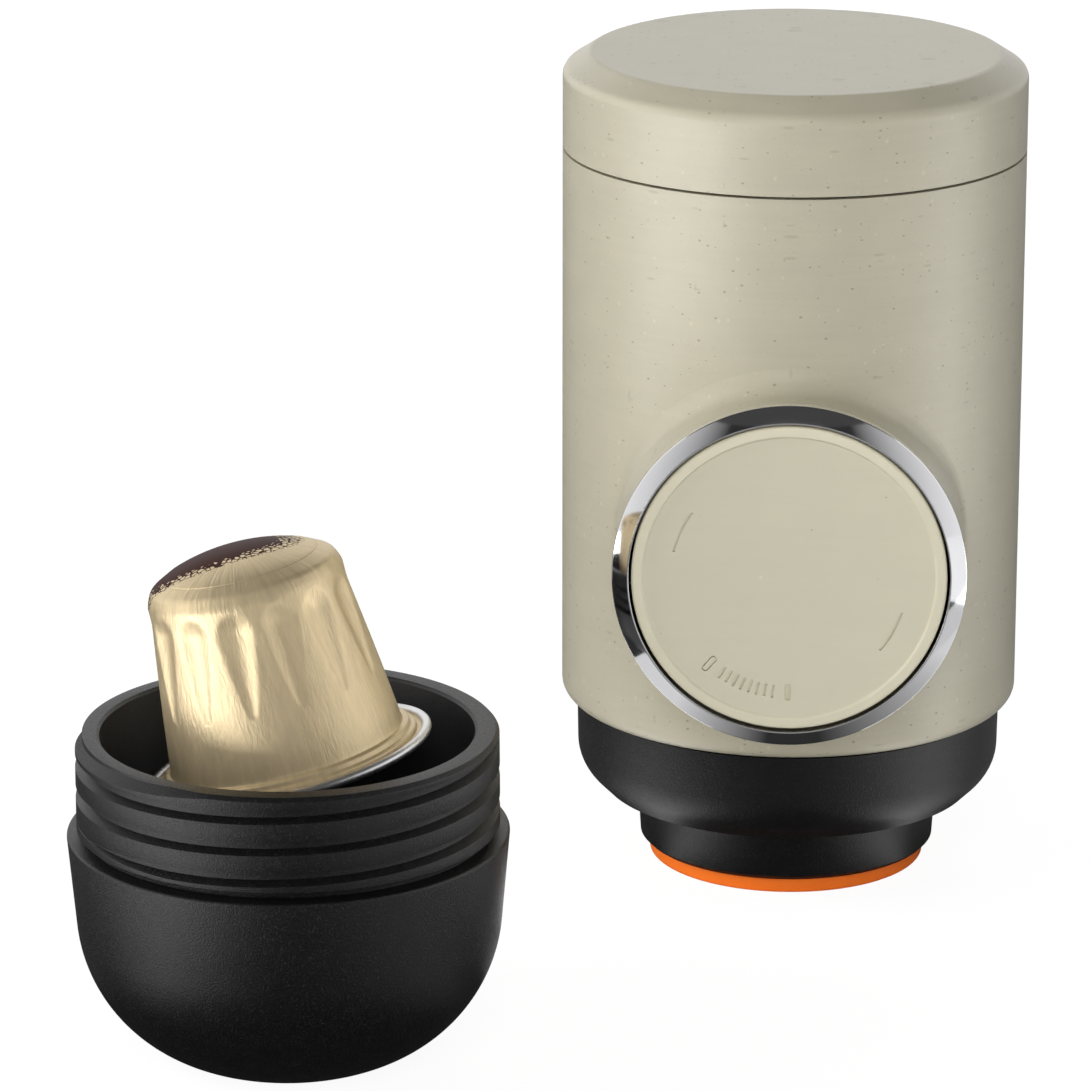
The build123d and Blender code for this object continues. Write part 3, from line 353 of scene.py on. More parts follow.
def capsule_frame():
    """The capsule's own axes, from its foil lid: the middle of the lid, and the way the dome points."""
    foil = frame["nodes"]["capsule_foil"].data
    low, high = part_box("capsule_foil")
    up = Vector()
    for face in foil.polygons:
        if face.normal.z > 0.5:
            up += face.normal * face.area
    return (Vector(low) + Vector(high)) / 2, up.normalized()


def lacquered_aluminium(tree, gold, crown):
    """Aluminium foil, deep drawn and lacquered gold.

    The eye sees satin gold with streaks and fine creases down the wall from the drawing. On the
    crown a patch of brown lacquer ends in a ragged border of small gold and brown marks.
    """
    middle, up = capsule_frame()
    side = up.cross(Vector((0, 1, 0))).normalized()
    turn = Matrix((side, up.cross(side), up)).to_4x4()
    place = add_node(tree, "ShaderNodeTexCoord")
    # POINT mapping scales, then turns, then moves, so the last two work in millimetres
    own = add_node(tree, "ShaderNodeMapping", {
        "Vector": place.outputs["Object"], "Rotation": tuple(turn.to_euler()),
        "Location": tuple(-c / MM for c in turn @ middle), "Scale": (1 / MM,) * 3})
    axes = add_node(tree, "ShaderNodeSeparateXYZ", {"Vector": own})
    angle = add_node(tree, "ShaderNodeMath", {
        0: axes.outputs["Y"], 1: axes.outputs["X"]}, operation="ARCTAN2")
    around_x = add_node(tree, "ShaderNodeMath", {0: angle}, operation="COSINE")
    around_y = add_node(tree, "ShaderNodeMath", {0: angle}, operation="SINE")
    drop = add_node(tree, "ShaderNodeMath", {0: axes.outputs["Z"], 1: 0.018}, operation="MULTIPLY")
    wall = add_node(tree, "ShaderNodeCombineXYZ", {"X": around_x, "Y": around_y, "Z": drop})
    # drawing streaks: about 1 mm apart round the wall and 15 mm or more long
    streaks = add_node(tree, "ShaderNodeTexNoise", {
        "Vector": wall, "Scale": 13.0, "Detail": 5.0, "Roughness": 0.62, "Distortion": 0.25})
    creases = add_node(tree, "ShaderNodeTexNoise", {
        "Vector": wall, "Scale": 34.0, "Detail": 3.0, "Roughness": 0.55, "Distortion": 0.5})
    base = add_node(tree, "ShaderNodeMix", {
        "Factor": streaks, FIRST: shade(gold, 0.76), SECOND: shade(gold, 1.16)}, data_type="RGBA")
    rough = add_node(tree, "ShaderNodeMapRange", {
        "Value": streaks, "From Min": 0.25, "From Max": 0.75, "To Min": 0.34, "To Max": 0.46})
    height = add_node(tree, "ShaderNodeMath", {0: streaks, 1: creases}, operation="ADD")
    bump = add_node(tree, "ShaderNodeBump", {"Strength": 0.7, "Distance": 0.1 * MM, "Height": height})
    # the lacquer is drawn thin over the metal, so the gold isn't a full mirror
    metal = add_node(tree, "ShaderNodeBsdfPrincipled", {
        "Base Color": base.outputs[MIXED], "Metallic": 0.68, "Roughness": rough, "Normal": bump})
    # the brown is an oval off the middle, towards the back and the left, and brown_reach mm round
    brown_reach = 8.0
    flat = add_node(tree, "ShaderNodeCombineXYZ", {"X": axes.outputs["X"], "Y": axes.outputs["Y"]})
    oval = add_node(tree, "ShaderNodeMapping", {
        "Vector": flat, "Location": (-0.4, 0.3, 0), "Scale": (1 / 9.4, 1 / 5.9, 0)})
    away = add_node(tree, "ShaderNodeVectorMath", {0: oval}, operation="LENGTH")
    reach = add_node(tree, "ShaderNodeMath", {
        0: away.outputs["Value"], 1: brown_reach}, operation="MULTIPLY")
    # the marks in its border are about 0.7 mm
    marks = add_node(tree, "ShaderNodeTexVoronoi", {
        "Vector": own, "Scale": 1.4, "Randomness": 1.0}, feature="DISTANCE_TO_EDGE")
    lace = add_node(tree, "ShaderNodeMapRange", {
        "Value": marks, "From Min": 0.04, "From Max": 0.24, "To Min": 2.2, "To Max": -0.5})
    ragged = add_node(tree, "ShaderNodeMath", {0: reach, 1: lace}, operation="SUBTRACT")
    on_top = add_node(tree, "ShaderNodeMapRange", {
        "Value": ragged, "From Min": brown_reach, "From Max": brown_reach + 0.15,
        "To Min": 1.0, "To Max": 0.0})
    above_wall = add_node(tree, "ShaderNodeMapRange", {
        "Value": axes.outputs["Z"], "From Min": CAPSULE_WALL_TOP[1], "From Max": CAPSULE_WALL_TOP[1] + 0.1})
    mask = add_node(tree, "ShaderNodeMath", {0: on_top, 1: above_wall}, operation="MULTIPLY")
    lacquer = add_node(tree, "ShaderNodeBsdfPrincipled", {
        "Base Color": shade(crown), "Roughness": 0.4, "IOR": 1.5, "Specular IOR Level": 0.03})
    return add_node(tree, "ShaderNodeMixShader", {0: mask, 1: metal, 2: lacquer})


def rolled_foil(tree):
    """Bare aluminium, rolled over at the rim. The eye sees a bright satin wire with small dents."""
    dents = add_node(tree, "ShaderNodeTexNoise", {"Vector": millimetres(tree), "Scale": 1.6, "Detail": 3.0})
    bump = add_node(tree, "ShaderNodeBump", {
        "Strength": 0.3, "Distance": 0.1 * MM, "Height": dents})
    rough = add_node(tree, "ShaderNodeMapRange", {
        "Value": dents, "To Min": 0.3, "To Max": 0.48})
    return add_node(tree, "ShaderNodeBsdfPrincipled", {
        "Base Color": shade(linear("F2F2F3")), "Metallic": 1.0, "Roughness": rough,
        "Normal": bump})


def ground_coffee(tree):
    """Ground roast coffee, pressed. The eye sees dark brown grains with lighter chaff."""
    grains = add_node(tree, "ShaderNodeTexVoronoi", {"Vector": millimetres(tree), "Scale": 2.2}, feature="F1")
    base = add_node(tree, "ShaderNodeMix", {
        "Factor": grains, FIRST: shade(linear("2A1409")), SECOND: shade(linear("5A3820"))}, data_type="RGBA")
    bump = add_node(tree, "ShaderNodeBump", {"Strength": 0.8, "Distance": 0.2 * MM, "Height": grains})
    return add_node(tree, "ShaderNodeBsdfPrincipled", {
        "Base Color": base.outputs[MIXED], "Roughness": 0.85, "IOR": 1.45, "Normal": bump})


# ---------------------------------------------------------------- mesh helpers
def rounded(corners):
    """Outline points (radius, height, round) in millimetres, with an arc at each corner that has a round."""
    points = []
    for i, corner in enumerate(corners):
        here = Vector(corner[:2])
        size = corner[2] if len(corner) > 2 else 0
        if not size:
            points.append(tuple(here))
            continue
        before = (Vector(corners[i - 1][:2]) - here).normalized()
        after = (Vector(corners[(i + 1) % len(corners)][:2]) - here).normalized()
        half = before.angle(after) / 2
        reach = size / math.tan(half)
        middle = here + (before + after).normalized() * (size / math.sin(half))
        first = here + before * reach - middle
        last = here + after * reach - middle
        sweep = first.angle_signed(last)
        for k in range(CORNER_STEPS + 1):
            points.append(tuple(middle + Matrix.Rotation(-sweep * k / CORNER_STEPS, 2) @ first))
    return points


def turned_mesh(name, outline, steps=ROUND_STEPS, shape=None):
    """A closed mesh turned round the Z axis from an outline in millimetres. Radius 0 becomes a pole.

    shape may change each point: it takes (radius, height, angle) and returns (radius, height).
    """
    build = bmesh.new()
    rows = []
    for radius, height in outline:
        if radius < 1e-6:
            rows.append([build.verts.new((0, 0, height * MM))] * steps)
            continue
        row = []
        for k in range(steps):
            angle = math.tau * k / steps
            r, z = shape(radius, height, angle) if shape else (radius, height)
            row.append(build.verts.new((r * MM * math.cos(angle), r * MM * math.sin(angle), z * MM)))
        rows.append(row)
    for low, high in zip(rows, rows[1:] + rows[:1]):
        for k in range(steps):
            n = (k + 1) % steps
            corners = []
            for v in (low[k], low[n], high[n], high[k]):
                if v not in corners:
                    corners.append(v)
            if len(corners) > 2:
                build.faces.new(corners)
    return closed_mesh(name, build)


def closed_mesh(name, build):
    """The bmesh as a mesh whose faces point outwards."""
    bmesh.ops.recalc_face_normals(build, faces=build.faces)
    made = bpy.data.meshes.new(name)
    build.to_mesh(made)
    build.free()
    return made


def facing_front(mesh, height):
    """Turns a mesh that was made round the Z axis so that its top faces the front, at this height."""
    mesh.transform(Matrix.Translation((0, 0, height)) @ Matrix.Rotation(math.pi / 2, 4, "X"))
    smooth(mesh)


def smooth(mesh, angle=32):
    """Smooth shading, with the edges that are sharper than the angle kept crisp."""
    mesh.polygons.foreach_set("use_smooth", [True] * len(mesh.polygons))
    mesh.set_sharp_from_angle(angle=math.radians(angle))
    mesh.update()


def new_piece(name, mesh, body, slot, material, *stands_for):
    """A finished piece: it rides on its body, and stands for the CAD nodes named."""
    made = bpy.data.objects.new(name, mesh)
    bpy.context.scene.collection.objects.link(made)
    mesh.materials.clear()
    mesh.materials.append(material)
    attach(made, body)
    if stands_for:
        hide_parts(*stands_for)
    return made


def combined(mesh, other, operation):
    """mesh with other added or cut away, as a plain mesh."""
    first = bpy.data.objects.new("work_first", mesh)
    second = bpy.data.objects.new("work_second", other)
    for made in (first, second):
        bpy.context.scene.collection.objects.link(made)
    step = first.modifiers.new("combine", "BOOLEAN")
    step.operation = operation
    step.solver = "EXACT"
    step.object = second
    result = evaluated_mesh(first, mesh.name)
    removed(first, second)
    return result


def removed(*objects):
    """Takes working objects and their meshes away again."""
    for made in objects:
        old = made.data
        bpy.data.objects.remove(made)
        bpy.data.meshes.remove(old)


def evaluated_mesh(made, name):
    """The object's mesh with its modifiers applied."""
    bpy.context.view_layer.update()
    graph = bpy.context.evaluated_depsgraph_get()
    result = bpy.data.meshes.new_from_object(made.evaluated_get(graph), depsgraph=graph)
    result.name = name
    return result


def grown(tree, name, **inputs):
    """The mesh that a Geometry Nodes tree makes with these inputs."""
    made = bpy.data.objects.new("work_" + name, bpy.data.meshes.new(name))
    bpy.context.scene.collection.objects.link(made)
    step = made.modifiers.new(name, "NODES")
    step.node_group = tree
    sockets = {item.name: item.identifier for item in tree.interface.items_tree if item.item_type == "SOCKET"}
    for key, value in inputs.items():
        step[sockets[key.replace("_", " ").capitalize()]] = value
    result = evaluated_mesh(made, name)
    removed(made)
    return result


def new_tree(name, *numbers, whole=()):
    """A Geometry Nodes tree with named inputs, and the outputs of its group input node."""
    tree = bpy.data.node_groups.new(name, "GeometryNodeTree")
    tree.interface.new_socket("Geometry", in_out="OUTPUT", socket_type="NodeSocketGeometry")
    for labels, kind in ((whole, "Int"), (numbers, "Float"), (("Finish",), "Material")):
        for label in labels:
            tree.interface.new_socket(label, in_out="INPUT", socket_type="NodeSocket" + kind)
    return tree, add_node(tree, "NodeGroupInput").outputs


def finish_tree(tree, geometry, material):
    """Ends a tree with real geometry in its material."""
    real = add_node(tree, "GeometryNodeRealizeInstances", {"Geometry": geometry})
    done = add_node(tree, "GeometryNodeSetMaterial", {"Geometry": real, "Material": material})
    add_node(tree, "NodeGroupOutput", {"Geometry": done})


def circle_points(tree, count, angle, radius, height=0.0):
    """As many points, each at its own angle on a circle round the Z axis and at its own height."""
    line = add_node(tree, "GeometryNodeMeshLine", {
        "Count": count, "Start Location": (0, 0, 0), "Offset": (0, 0, 0)})
    spot = {"Z": height}
    for axis, share in (("X", "COSINE"), ("Y", "SINE")):
        part = add_node(tree, "ShaderNodeMath", {0: angle}, operation=share)
        spot[axis] = add_node(tree, "ShaderNodeMath", {0: part, 1: radius}, operation="MULTIPLY")
    place = add_node(tree, "ShaderNodeCombineXYZ", spot)
    return add_node(tree, "GeometryNodeSetPosition", {"Geometry": line, "Position": place})


def thread_tree():
    """A four-cornered section wound along a helix, thinning out at both ends.

    Each corner is given by how far out from the helix and how far up from it the corner lies.
    """
    tree, give = new_tree(
        "Screw thread", "Radius", "Pitch", "Turns", "Bottom", "Start", "Lead in", "Root", "Tip",
        "Root top", "Tip top", "Tip bottom", "Root bottom")
    steps = add_node(tree, "ShaderNodeMath", {0: give["Turns"], 1: THREAD_STEPS}, operation="MULTIPLY")
    count = add_node(tree, "FunctionNodeFloatToInt", {"Float": steps})
    place = add_node(tree, "GeometryNodeInputIndex")
    last = add_node(tree, "ShaderNodeMath", {0: count, 1: 1.0}, operation="SUBTRACT")
    share = add_node(tree, "ShaderNodeMath", {0: place, 1: last}, operation="DIVIDE")
    along = add_node(tree, "ShaderNodeMath", {0: share, 1: give["Turns"]}, operation="MULTIPLY")
    swept = add_node(tree, "ShaderNodeMath", {0: along, 1: math.tau}, operation="MULTIPLY")
    angle = add_node(tree, "ShaderNodeMath", {0: swept, 1: give["Start"]}, operation="ADD")
    rise = add_node(tree, "ShaderNodeMath", {
        0: along, 1: give["Pitch"], 2: give["Bottom"]}, operation="MULTIPLY_ADD")
    points = circle_points(tree, count, angle, give["Radius"], rise)
    path = add_node(tree, "GeometryNodeMeshToCurve", {"Mesh": points})
    level = add_node(tree, "GeometryNodeSetCurveNormal", {"Curve": path}, mode="Z_UP")
    # each end thins out over the lead-in, counted in points along the path
    lead = add_node(tree, "ShaderNodeMath", {0: give["Lead in"], 1: THREAD_STEPS}, operation="MULTIPLY")
    from_start = add_node(tree, "ShaderNodeMath", {0: place, 1: lead}, operation="DIVIDE")
    left = add_node(tree, "ShaderNodeMath", {0: last, 1: place}, operation="SUBTRACT")
    from_end = add_node(tree, "ShaderNodeMath", {0: left, 1: lead}, operation="DIVIDE")
    nearer = add_node(tree, "ShaderNodeMath", {0: from_start, 1: from_end}, operation="MINIMUM")
    full = add_node(tree, "ShaderNodeMapRange", {
        "Value": nearer, "To Min": 0.02, "To Max": 1.0}, interpolation_type="SMOOTHSTEP")
    # the section's X points outwards and its Y points down
    section = add_node(tree, "GeometryNodeCurvePrimitiveQuadrilateral", mode="POINTS")
    for number, corner in enumerate(("Root top", "Tip top", "Tip bottom", "Root bottom"), 1):
        down = add_node(tree, "ShaderNodeMath", {0: give[corner], 1: -1.0}, operation="MULTIPLY")
        at = add_node(tree, "ShaderNodeCombineXYZ", {"X": give[corner.split()[0]], "Y": down})
        tree.links.new(at.outputs[0], section.inputs[f"Point {number}"])
    ridge = add_node(tree, "GeometryNodeCurveToMesh", {
        "Curve": level, "Profile Curve": section, "Scale": full, "Fill Caps": True})
    finish_tree(tree, ridge, give["Finish"])
    return tree


def tick_tree():
    """Short radial bars with round ends, spaced round part of a circle, to cut the knob's scale with."""
    tree, give = new_tree(
        "Scale ticks", "Radius", "First", "Step", "Length", "Width", "Depth", whole=("Count",))
    index = add_node(tree, "GeometryNodeInputIndex")
    angle = add_node(tree, "ShaderNodeMath", {
        0: index, 1: give["Step"], 2: give["First"]}, operation="MULTIPLY_ADD")
    points = circle_points(tree, give["Count"], angle, give["Radius"])
    slot = add_node(tree, "GeometryNodeCurvePrimitiveQuadrilateral", {
        "Width": give["Length"], "Height": give["Width"]}, mode="RECTANGLE")
    # a little under half the width, so that the two round ends of a side don't meet
    round_end = add_node(tree, "ShaderNodeMath", {0: give["Width"], 1: 0.48}, operation="MULTIPLY")
    soft = add_node(tree, "GeometryNodeFilletCurve", {
        "Curve": slot, "Radius": round_end, "Count": 6}, mode="POLY")
    face = add_node(tree, "GeometryNodeFillCurve", {"Curve": soft}, mode="NGONS")
    raised = add_node(tree, "ShaderNodeCombineXYZ", {"Z": give["Depth"]})
    bar = add_node(tree, "GeometryNodeExtrudeMesh", {
        "Mesh": face, "Offset": raised, "Offset Scale": 1.0, "Individual": False})
    under = add_node(tree, "GeometryNodeFlipFaces", {"Mesh": face})
    closed = add_node(tree, "GeometryNodeJoinGeometry")
    for part in (bar, under):
        tree.links.new(part.outputs[0], closed.inputs[0])
    sealed = add_node(tree, "GeometryNodeMergeByDistance", {"Geometry": closed, "Distance": 1e-6})
    turn = add_node(tree, "ShaderNodeCombineXYZ", {"Z": angle})
    bars = add_node(tree, "GeometryNodeInstanceOnPoints", {
        "Points": points, "Instance": sealed, "Rotation": turn})
    finish_tree(tree, bars, give["Finish"])
    return tree


# ---------------------------------------------------------------- operators
class ESPRESSO_OT_shells(bpy.types.Operator):
    """Finish the moulded shells, the inner works and the seals"""

    bl_idname = "espresso.shells"
    bl_label = "Shells and works"

    def execute(self, context):
        look = context.scene.espresso_shells
        knob = context.scene.espresso_knob
        capsule = context.scene.espresso_capsule
        finishes = {}
        for slot, name, maker, *sizes in (
            ("beige_body", "Fibre filled PP, matt beige", fibre_plastic,
             look.beige, look.fleck, look.fleck_spacing, 0.46, 0.4, 0.035),
            ("beige_knob", "Fibre filled PP, satin beige", fibre_plastic,
             knob.beige, look.fleck, 3.2, 0.42, 0.1, 0.015, KNOB_FACE_RADIUS),
            ("chrome_bezel", "Chrome plate, polished", chrome_plate),
            ("black_inner", "Black PP, plain moulded", grained_black, look.black, 0.4, 0.12),
            ("black_outer", "Black PP, spark grained", grained_black, look.black, 0.44, 0.4),
            ("black_cup", "Black PP, cup grain", grained_black, look.black, 0.39, 0.45, BORE_RADIUS + 0.05),
            ("orange_silicone", "Orange silicone, satin", moulded_silicone, look.orange, 0.45, 0.0),
            ("pale_silicone", "Milky silicone, satin", moulded_silicone, linear("E4E3DD"), 0.4, 0.25),
            ("black_rubber", "Black nitrile rubber", moulded_silicone, linear("161616"), 0.55, 0.0),
            ("clear_pump", "Clear PP, moulded", clear_plastic, linear("DDE2E4"), 0.25, 0.75),
            ("smoked_tank", "Smoked copolyester, moulded", clear_plastic, linear("6E7072"), 0.16, 0.8),
            ("steel", "Stainless steel, satin", satin_steel),
            ("capsule_gold", "Gold lacquered aluminium", lacquered_aluminium, capsule.gold, capsule.crown),
            ("capsule_foil", "Rolled aluminium foil", rolled_foil),
            ("ground_coffee", "Ground coffee, pressed", ground_coffee),
        ):
            finishes[slot] = existing(name, maker, *sizes)
        slots = {row["node"]: row["material_slot"] for row in frame["record"]["subparts"]}
        for name, node in frame["nodes"].items():
            node.data.materials.clear()
            node.data.materials.append(finishes[slots[name]])
        return {"FINISHED"}


class ESPRESSO_OT_bezel(bpy.types.Operator):
    """Turn the chrome ring round the knob as one smooth cone"""

    bl_idname = "espresso.bezel"
    bl_label = "Chrome ring"

    def execute(self, context):
        low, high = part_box("bezel_ring")
        outer = (high.x - low.x) / 2 / MM
        front, back = -low.y / MM, -high.y / MM
        inner = outer - 2.2
        ring = turned_mesh("bezel_ring", rounded([
            (inner, back), (outer, back), (outer, front - 1.25, 0.2), (inner + 0.2, front, 0.08),
            (inner, front, 0.06)]))
        facing_front(ring, (low.z + high.z) / 2)
        new_piece("bezel_ring_polished", ring, "maker", "chrome_bezel",
                  bpy.data.materials["Chrome plate, polished"], "bezel_ring")
        return {"FINISHED"}


class ESPRESSO_OT_knob(bpy.types.Operator):
    """Turn the knob with its lock lugs, and cut the scale into its face"""

    bl_idname = "espresso.knob"
    bl_label = "Knob"

    def execute(self, context):
        marks = context.scene.espresso_knob
        low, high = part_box("knob_cap")
        outer = (high.x - low.x) / 2 / MM
        front = -low.y / MM
        rim, dish = outer - 1.6, 0.6
        face, back = front - 0.35, front - 3.2
        hub, hub_end = 7.0, front - 15.6
        rod_hole, rod_end = 4.06, front - 7.0
        hollow = 6.0
        arc = [(rim * k / 24, face - dish * (1 - (k / 24) ** 2)) for k in range(25)]
        knob = turned_mesh("knob_cap", rounded(
            arc[:-1]
            + [(rim, face, 0.15), (rim + 0.25, front, 0.12), (outer, front, 0.4), (outer, back),
               (hub, back), (hub, hub_end), (rod_hole, hub_end), (rod_hole, rod_end),
               (hollow, rod_end), (hollow, back), (0, back)]))
        lugs = bmesh.new()
        for lug in range(3):
            add_arc(lugs, math.radians(12 + lug * 120), math.radians(54), (6.5 * MM, 10.8 * MM),
                    (hub_end * MM, (hub_end + 2.0) * MM), 12)
        knob = combined(knob, closed_mesh("lugs", lugs), "UNION")
        # from the stop at the bottom the ticks run clockwise, as seen from the front, to the second stop
        bottom = -math.pi / 2
        bars = tick_tree()
        deep = 4 * MM
        floor = (face - dish * (1 - (marks.mark_radius / MM / rim) ** 2)) * MM - marks.mark_depth
        build = bmesh.new()
        for count, first, length, width in (
            (marks.tick_count, bottom - math.radians(7.2), 1.8 * MM, 0.34 * MM),
            (1, bottom, 2.3 * MM, 0.75 * MM),
        ):
            build.from_mesh(grown(bars, "ticks", count=count, radius=marks.mark_radius, first=first,
                                  step=-marks.tick_step, length=length, width=width, depth=deep))
        add_loop(build, marks.mark_radius, bottom - marks.lock_turn, 2.5 * MM, 0.95 * MM, 0.2 * MM, deep)
        dash_sweep = 22
        for middle in (156.4, -28.1):
            add_arc(build, math.radians(middle - dash_sweep / 2), math.radians(dash_sweep),
                    (15.2 * MM, 15.5 * MM), (0, deep), 16)
        bmesh.ops.translate(build, vec=(0, 0, floor), verts=build.verts)
        knob = combined(knob, closed_mesh("marks", build), "DIFFERENCE")
        facing_front(knob, (low.z + high.z) / 2)
        new_piece("knob_cap_engraved", knob, "knob", "beige_knob",
                  bpy.data.materials["Fibre filled PP, satin beige"], "knob_cap")
        return {"FINISHED"}


def pill_line(length, width, steps=8):
    """The outline of a bar with round ends, along X."""
    half = width / 2
    line = []
    for side in (1, -1):
        for k in range(steps + 1):
            angle = math.pi * (k / steps - side / 2)
            line.append((side * (length / 2 - half) + half * math.cos(angle), half * math.sin(angle)))
    return line


def add_loop(build, radius, angle, length, width, stroke, depth):
    """A thin closed loop round a pill, standing on the face and pointing at its middle."""
    turn = Matrix.Rotation(angle, 4, "Z") @ Matrix.Translation((radius, 0, 0))
    rings = []
    for line in (pill_line(length, width), pill_line(length - 2 * stroke, width - 2 * stroke)):
        rings += [[build.verts.new(turn @ Vector((x, y, z))) for x, y in line] for z in (0, depth)]
    outer_low, outer_high, inner_low, inner_high = rings
    count = len(outer_low)
    for one, two in ((outer_low, outer_high), (outer_high, inner_high), (inner_high, inner_low),
                     (inner_low, outer_low)):
        for k in range(count):
            n = (k + 1) % count
            build.faces.new((one[k], one[n], two[n], two[k]))


def add_arc(build, first, sweep, radii, heights, steps):
    """A bar bent along a circle round the Z axis, with square ends."""
    (near, far), (low, high) = radii, heights
    sides = []
    for k in range(steps + 1):
        angle = first + sweep * k / steps
        sides.append([
            build.verts.new((r * math.cos(angle), r * math.sin(angle), z))
            for r, z in ((near, low), (far, low), (far, high), (near, high))])
    for one, two in zip(sides, sides[1:]):
        for k in range(4):
            n = (k + 1) % 4
            build.faces.new((one[k], one[n], two[n], two[k]))
    build.faces.new(sides[0])
    build.faces.new(sides[-1][::-1])


class ESPRESSO_OT_cup(bpy.types.Operator):
    """Turn the cup and cut the coarse thread into its neck"""

    bl_idname = "espresso.cup"
    bl_label = "Cup"

    def execute(self, context):
        neck = context.scene.espresso_cup
        low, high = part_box("cup")
        rim = high.z / MM
        crest, depth, flat, flank = (
            size / MM for size in (neck.crest_radius, neck.groove_depth, neck.groove_width, neck.flank))
        root = crest - depth
        shoulder, shoulder_radius = 28.9, 27.75
        waist, foot = Vector((26.7, 17.0)), Vector((13.7, 0.0))
        bore_end, bore_foot = Vector((BORE_RADIUS, 18.0)), Vector((11.3, 2.6))
        outer = [tuple(p) for p in bowl_arc(waist, foot, Vector((-1.05, -11.9)), 40)]
        inner = [tuple(p) for p in bowl_arc(bore_end, bore_foot, Vector((0.0, -1.0)), 40)][::-1]
        cup = turned_mesh("cup", rounded(
            [(0, bore_foot.y)] + inner[:-1]
            + [(BORE_RADIUS, rim - 0.35, 0.08), (BORE_RADIUS + 0.35, rim, 0.08), (crest - 0.5, rim, 0.2),
               (crest - 0.05, rim - 0.5, 0.25), (crest, shoulder + 0.9, 0.15), (root, shoulder + 0.75, 0.1),
               (root, shoulder, 0.1), (shoulder_radius, shoulder, 0.35)]
            + outer[:-1] + [tuple(foot), (0, 0)]))
        # the groove's middle climbs 2.55 turns from 30.95 mm on the left, and runs out under the rim;
        # the second cut turns away the land above it, from the back round the left to the front
        tree = thread_tree()
        half, tip = flat / 2, 0.35
        for name, turns, bottom, start, lead_in, corners in (
            ("cup_thread", 2.55, 30.95, 190, 0.16,
             (-depth, tip, half, half + 0.05, -half - flank * (depth + tip) / depth, -half)),
            ("cup_lead", 0.72, 41.1, 412, 0.24, (-0.95, 0.4, 2.0, 2.0, -3.1, -1.35)),
        ):
            names = ("root", "tip", "root_top", "tip_top", "tip_bottom", "root_bottom")
            cut = grown(
                tree, name, radius=neck.crest_radius, pitch=neck.pitch, turns=turns, bottom=bottom * MM,
                start=math.radians(start), lead_in=lead_in,
                **{key: size * MM for key, size in zip(names, corners)})
            cup = combined(cup, cut, "DIFFERENCE")
        cup = edges_broken(cup, (shoulder - 0.3) * MM, 25 * MM, 0.09 * MM)
        cup.transform(Matrix.Translation(((low.x + high.x) / 2, (low.y + high.y) / 2, 0)))
        smooth(cup)
        new_piece("cup_threaded", cup, "cup", "black_cup", bpy.data.materials["Black PP, cup grain"], "cup")
        return {"FINISHED"}


def edges_broken(mesh, above, outside, width):
    """The mesh with its sharp outer edges broken, as an ejected moulding has them."""
    merge = 0.004 * MM
    build = bmesh.new()
    build.from_mesh(mesh)
    bmesh.ops.remove_doubles(build, verts=build.verts, dist=merge)
    bmesh.ops.dissolve_degenerate(build, edges=build.edges, dist=merge)
    sharp = [
        edge for edge in build.edges
        if edge.is_manifold and edge.calc_face_angle() > math.radians(28)
        and all(v.co.z > above and v.co.xy.length > outside for v in edge.verts)]
    bmesh.ops.bevel(
        build, geom=sharp, offset=width, offset_type="OFFSET", segments=2, profile=0.6,
        affect="EDGES", clamp_overlap=True)
    return closed_mesh(mesh.name, build)


def bowl_arc(top, foot, tangent, steps):
    """Points on the circle that leaves top along tangent and ends at foot."""
    across = Vector((tangent.y, -tangent.x)).normalized()
    chord = foot - top
    radius = chord.length_squared / (2 * chord.dot(across))
    centre = top + across * radius
    first, last = top - centre, foot - centre
    sweep = first.angle_signed(last)
    return [centre + Matrix.Rotation(-sweep * k / steps, 2) @ first for k in range(steps + 1)]


class ESPRESSO_OT_capsule(bpy.types.Operator):
    """Draw the capsule's fluted wall, its stepped foot and its rolled rim"""

    bl_idname = "espresso.capsule"
    bl_label = "Capsule"

    def execute(self, context):
        sizes = context.scene.espresso_capsule
        middle, up = capsule_frame()
        side = Vector((0, 1, 0)).cross(up).normalized()
        turn = Matrix((side, up.cross(side), up)).transposed().to_4x4()
        seat = Matrix.Translation(middle + up * 0.125 * MM) @ turn
        top, dome_radius, dome_drop = 28.3, 9.3, 1.65
        dome = [(dome_radius * k / 12, top - dome_drop * (k / 12) ** 2.2) for k in range(13)]
        crease = [(9.75, 26.42, 0.05), (9.85, 26.28, 0.05), (10.0, 26.28, 0.05)]
        shoulder = [(11.7, 25.35, 1.7), (12.4, 23.9, 3.0)]
        (foot_radius, foot), (top_radius, wall_top) = CAPSULE_WALL_FOOT, CAPSULE_WALL_TOP
        wall = [(top_radius + (foot_radius - top_radius) * k / 76, wall_top - (wall_top - foot) * k / 76)
                for k in range(77)]
        steps_out = [(14.95, 2.1, 0.1), (15.7, 2.05, 0.3), (15.75, 1.35, 0.15), (16.4, 1.3, 0.3),
                     (16.45, 0.6, 0.15), (17.6, 0.55), (17.6, 0.1)]
        inside = [(14.3, 0.1), (14.25, 2.4), (12.0, 21.6), (11.2, 23.6), (8.0, 25.5), (0, 27.2)]
        shell = turned_mesh("capsule_shell", rounded(dome + crease + shoulder + wall + steps_out + inside),
                            sizes.flute_count * 24, flute_shape(sizes))
        shell.transform(seat)
        smooth(shell, 50)
        new_piece("capsule_fluted", shell, "capsule", "capsule_gold",
                  bpy.data.materials["Gold lacquered aluminium"], "capsule_shell")
        ring, height, wire = 17.65, 0.55, 0.62
        rim = turned_mesh("capsule_rim", [
            (ring + wire * math.cos(math.tau * k / 16), height + wire * math.sin(math.tau * k / 16))
            for k in range(16)])
        rim.transform(seat)
        smooth(rim)
        new_piece("capsule_rolled_rim", rim, "capsule", "capsule_foil",
                  bpy.data.materials["Rolled aluminium foil"])
        return {"FINISHED"}


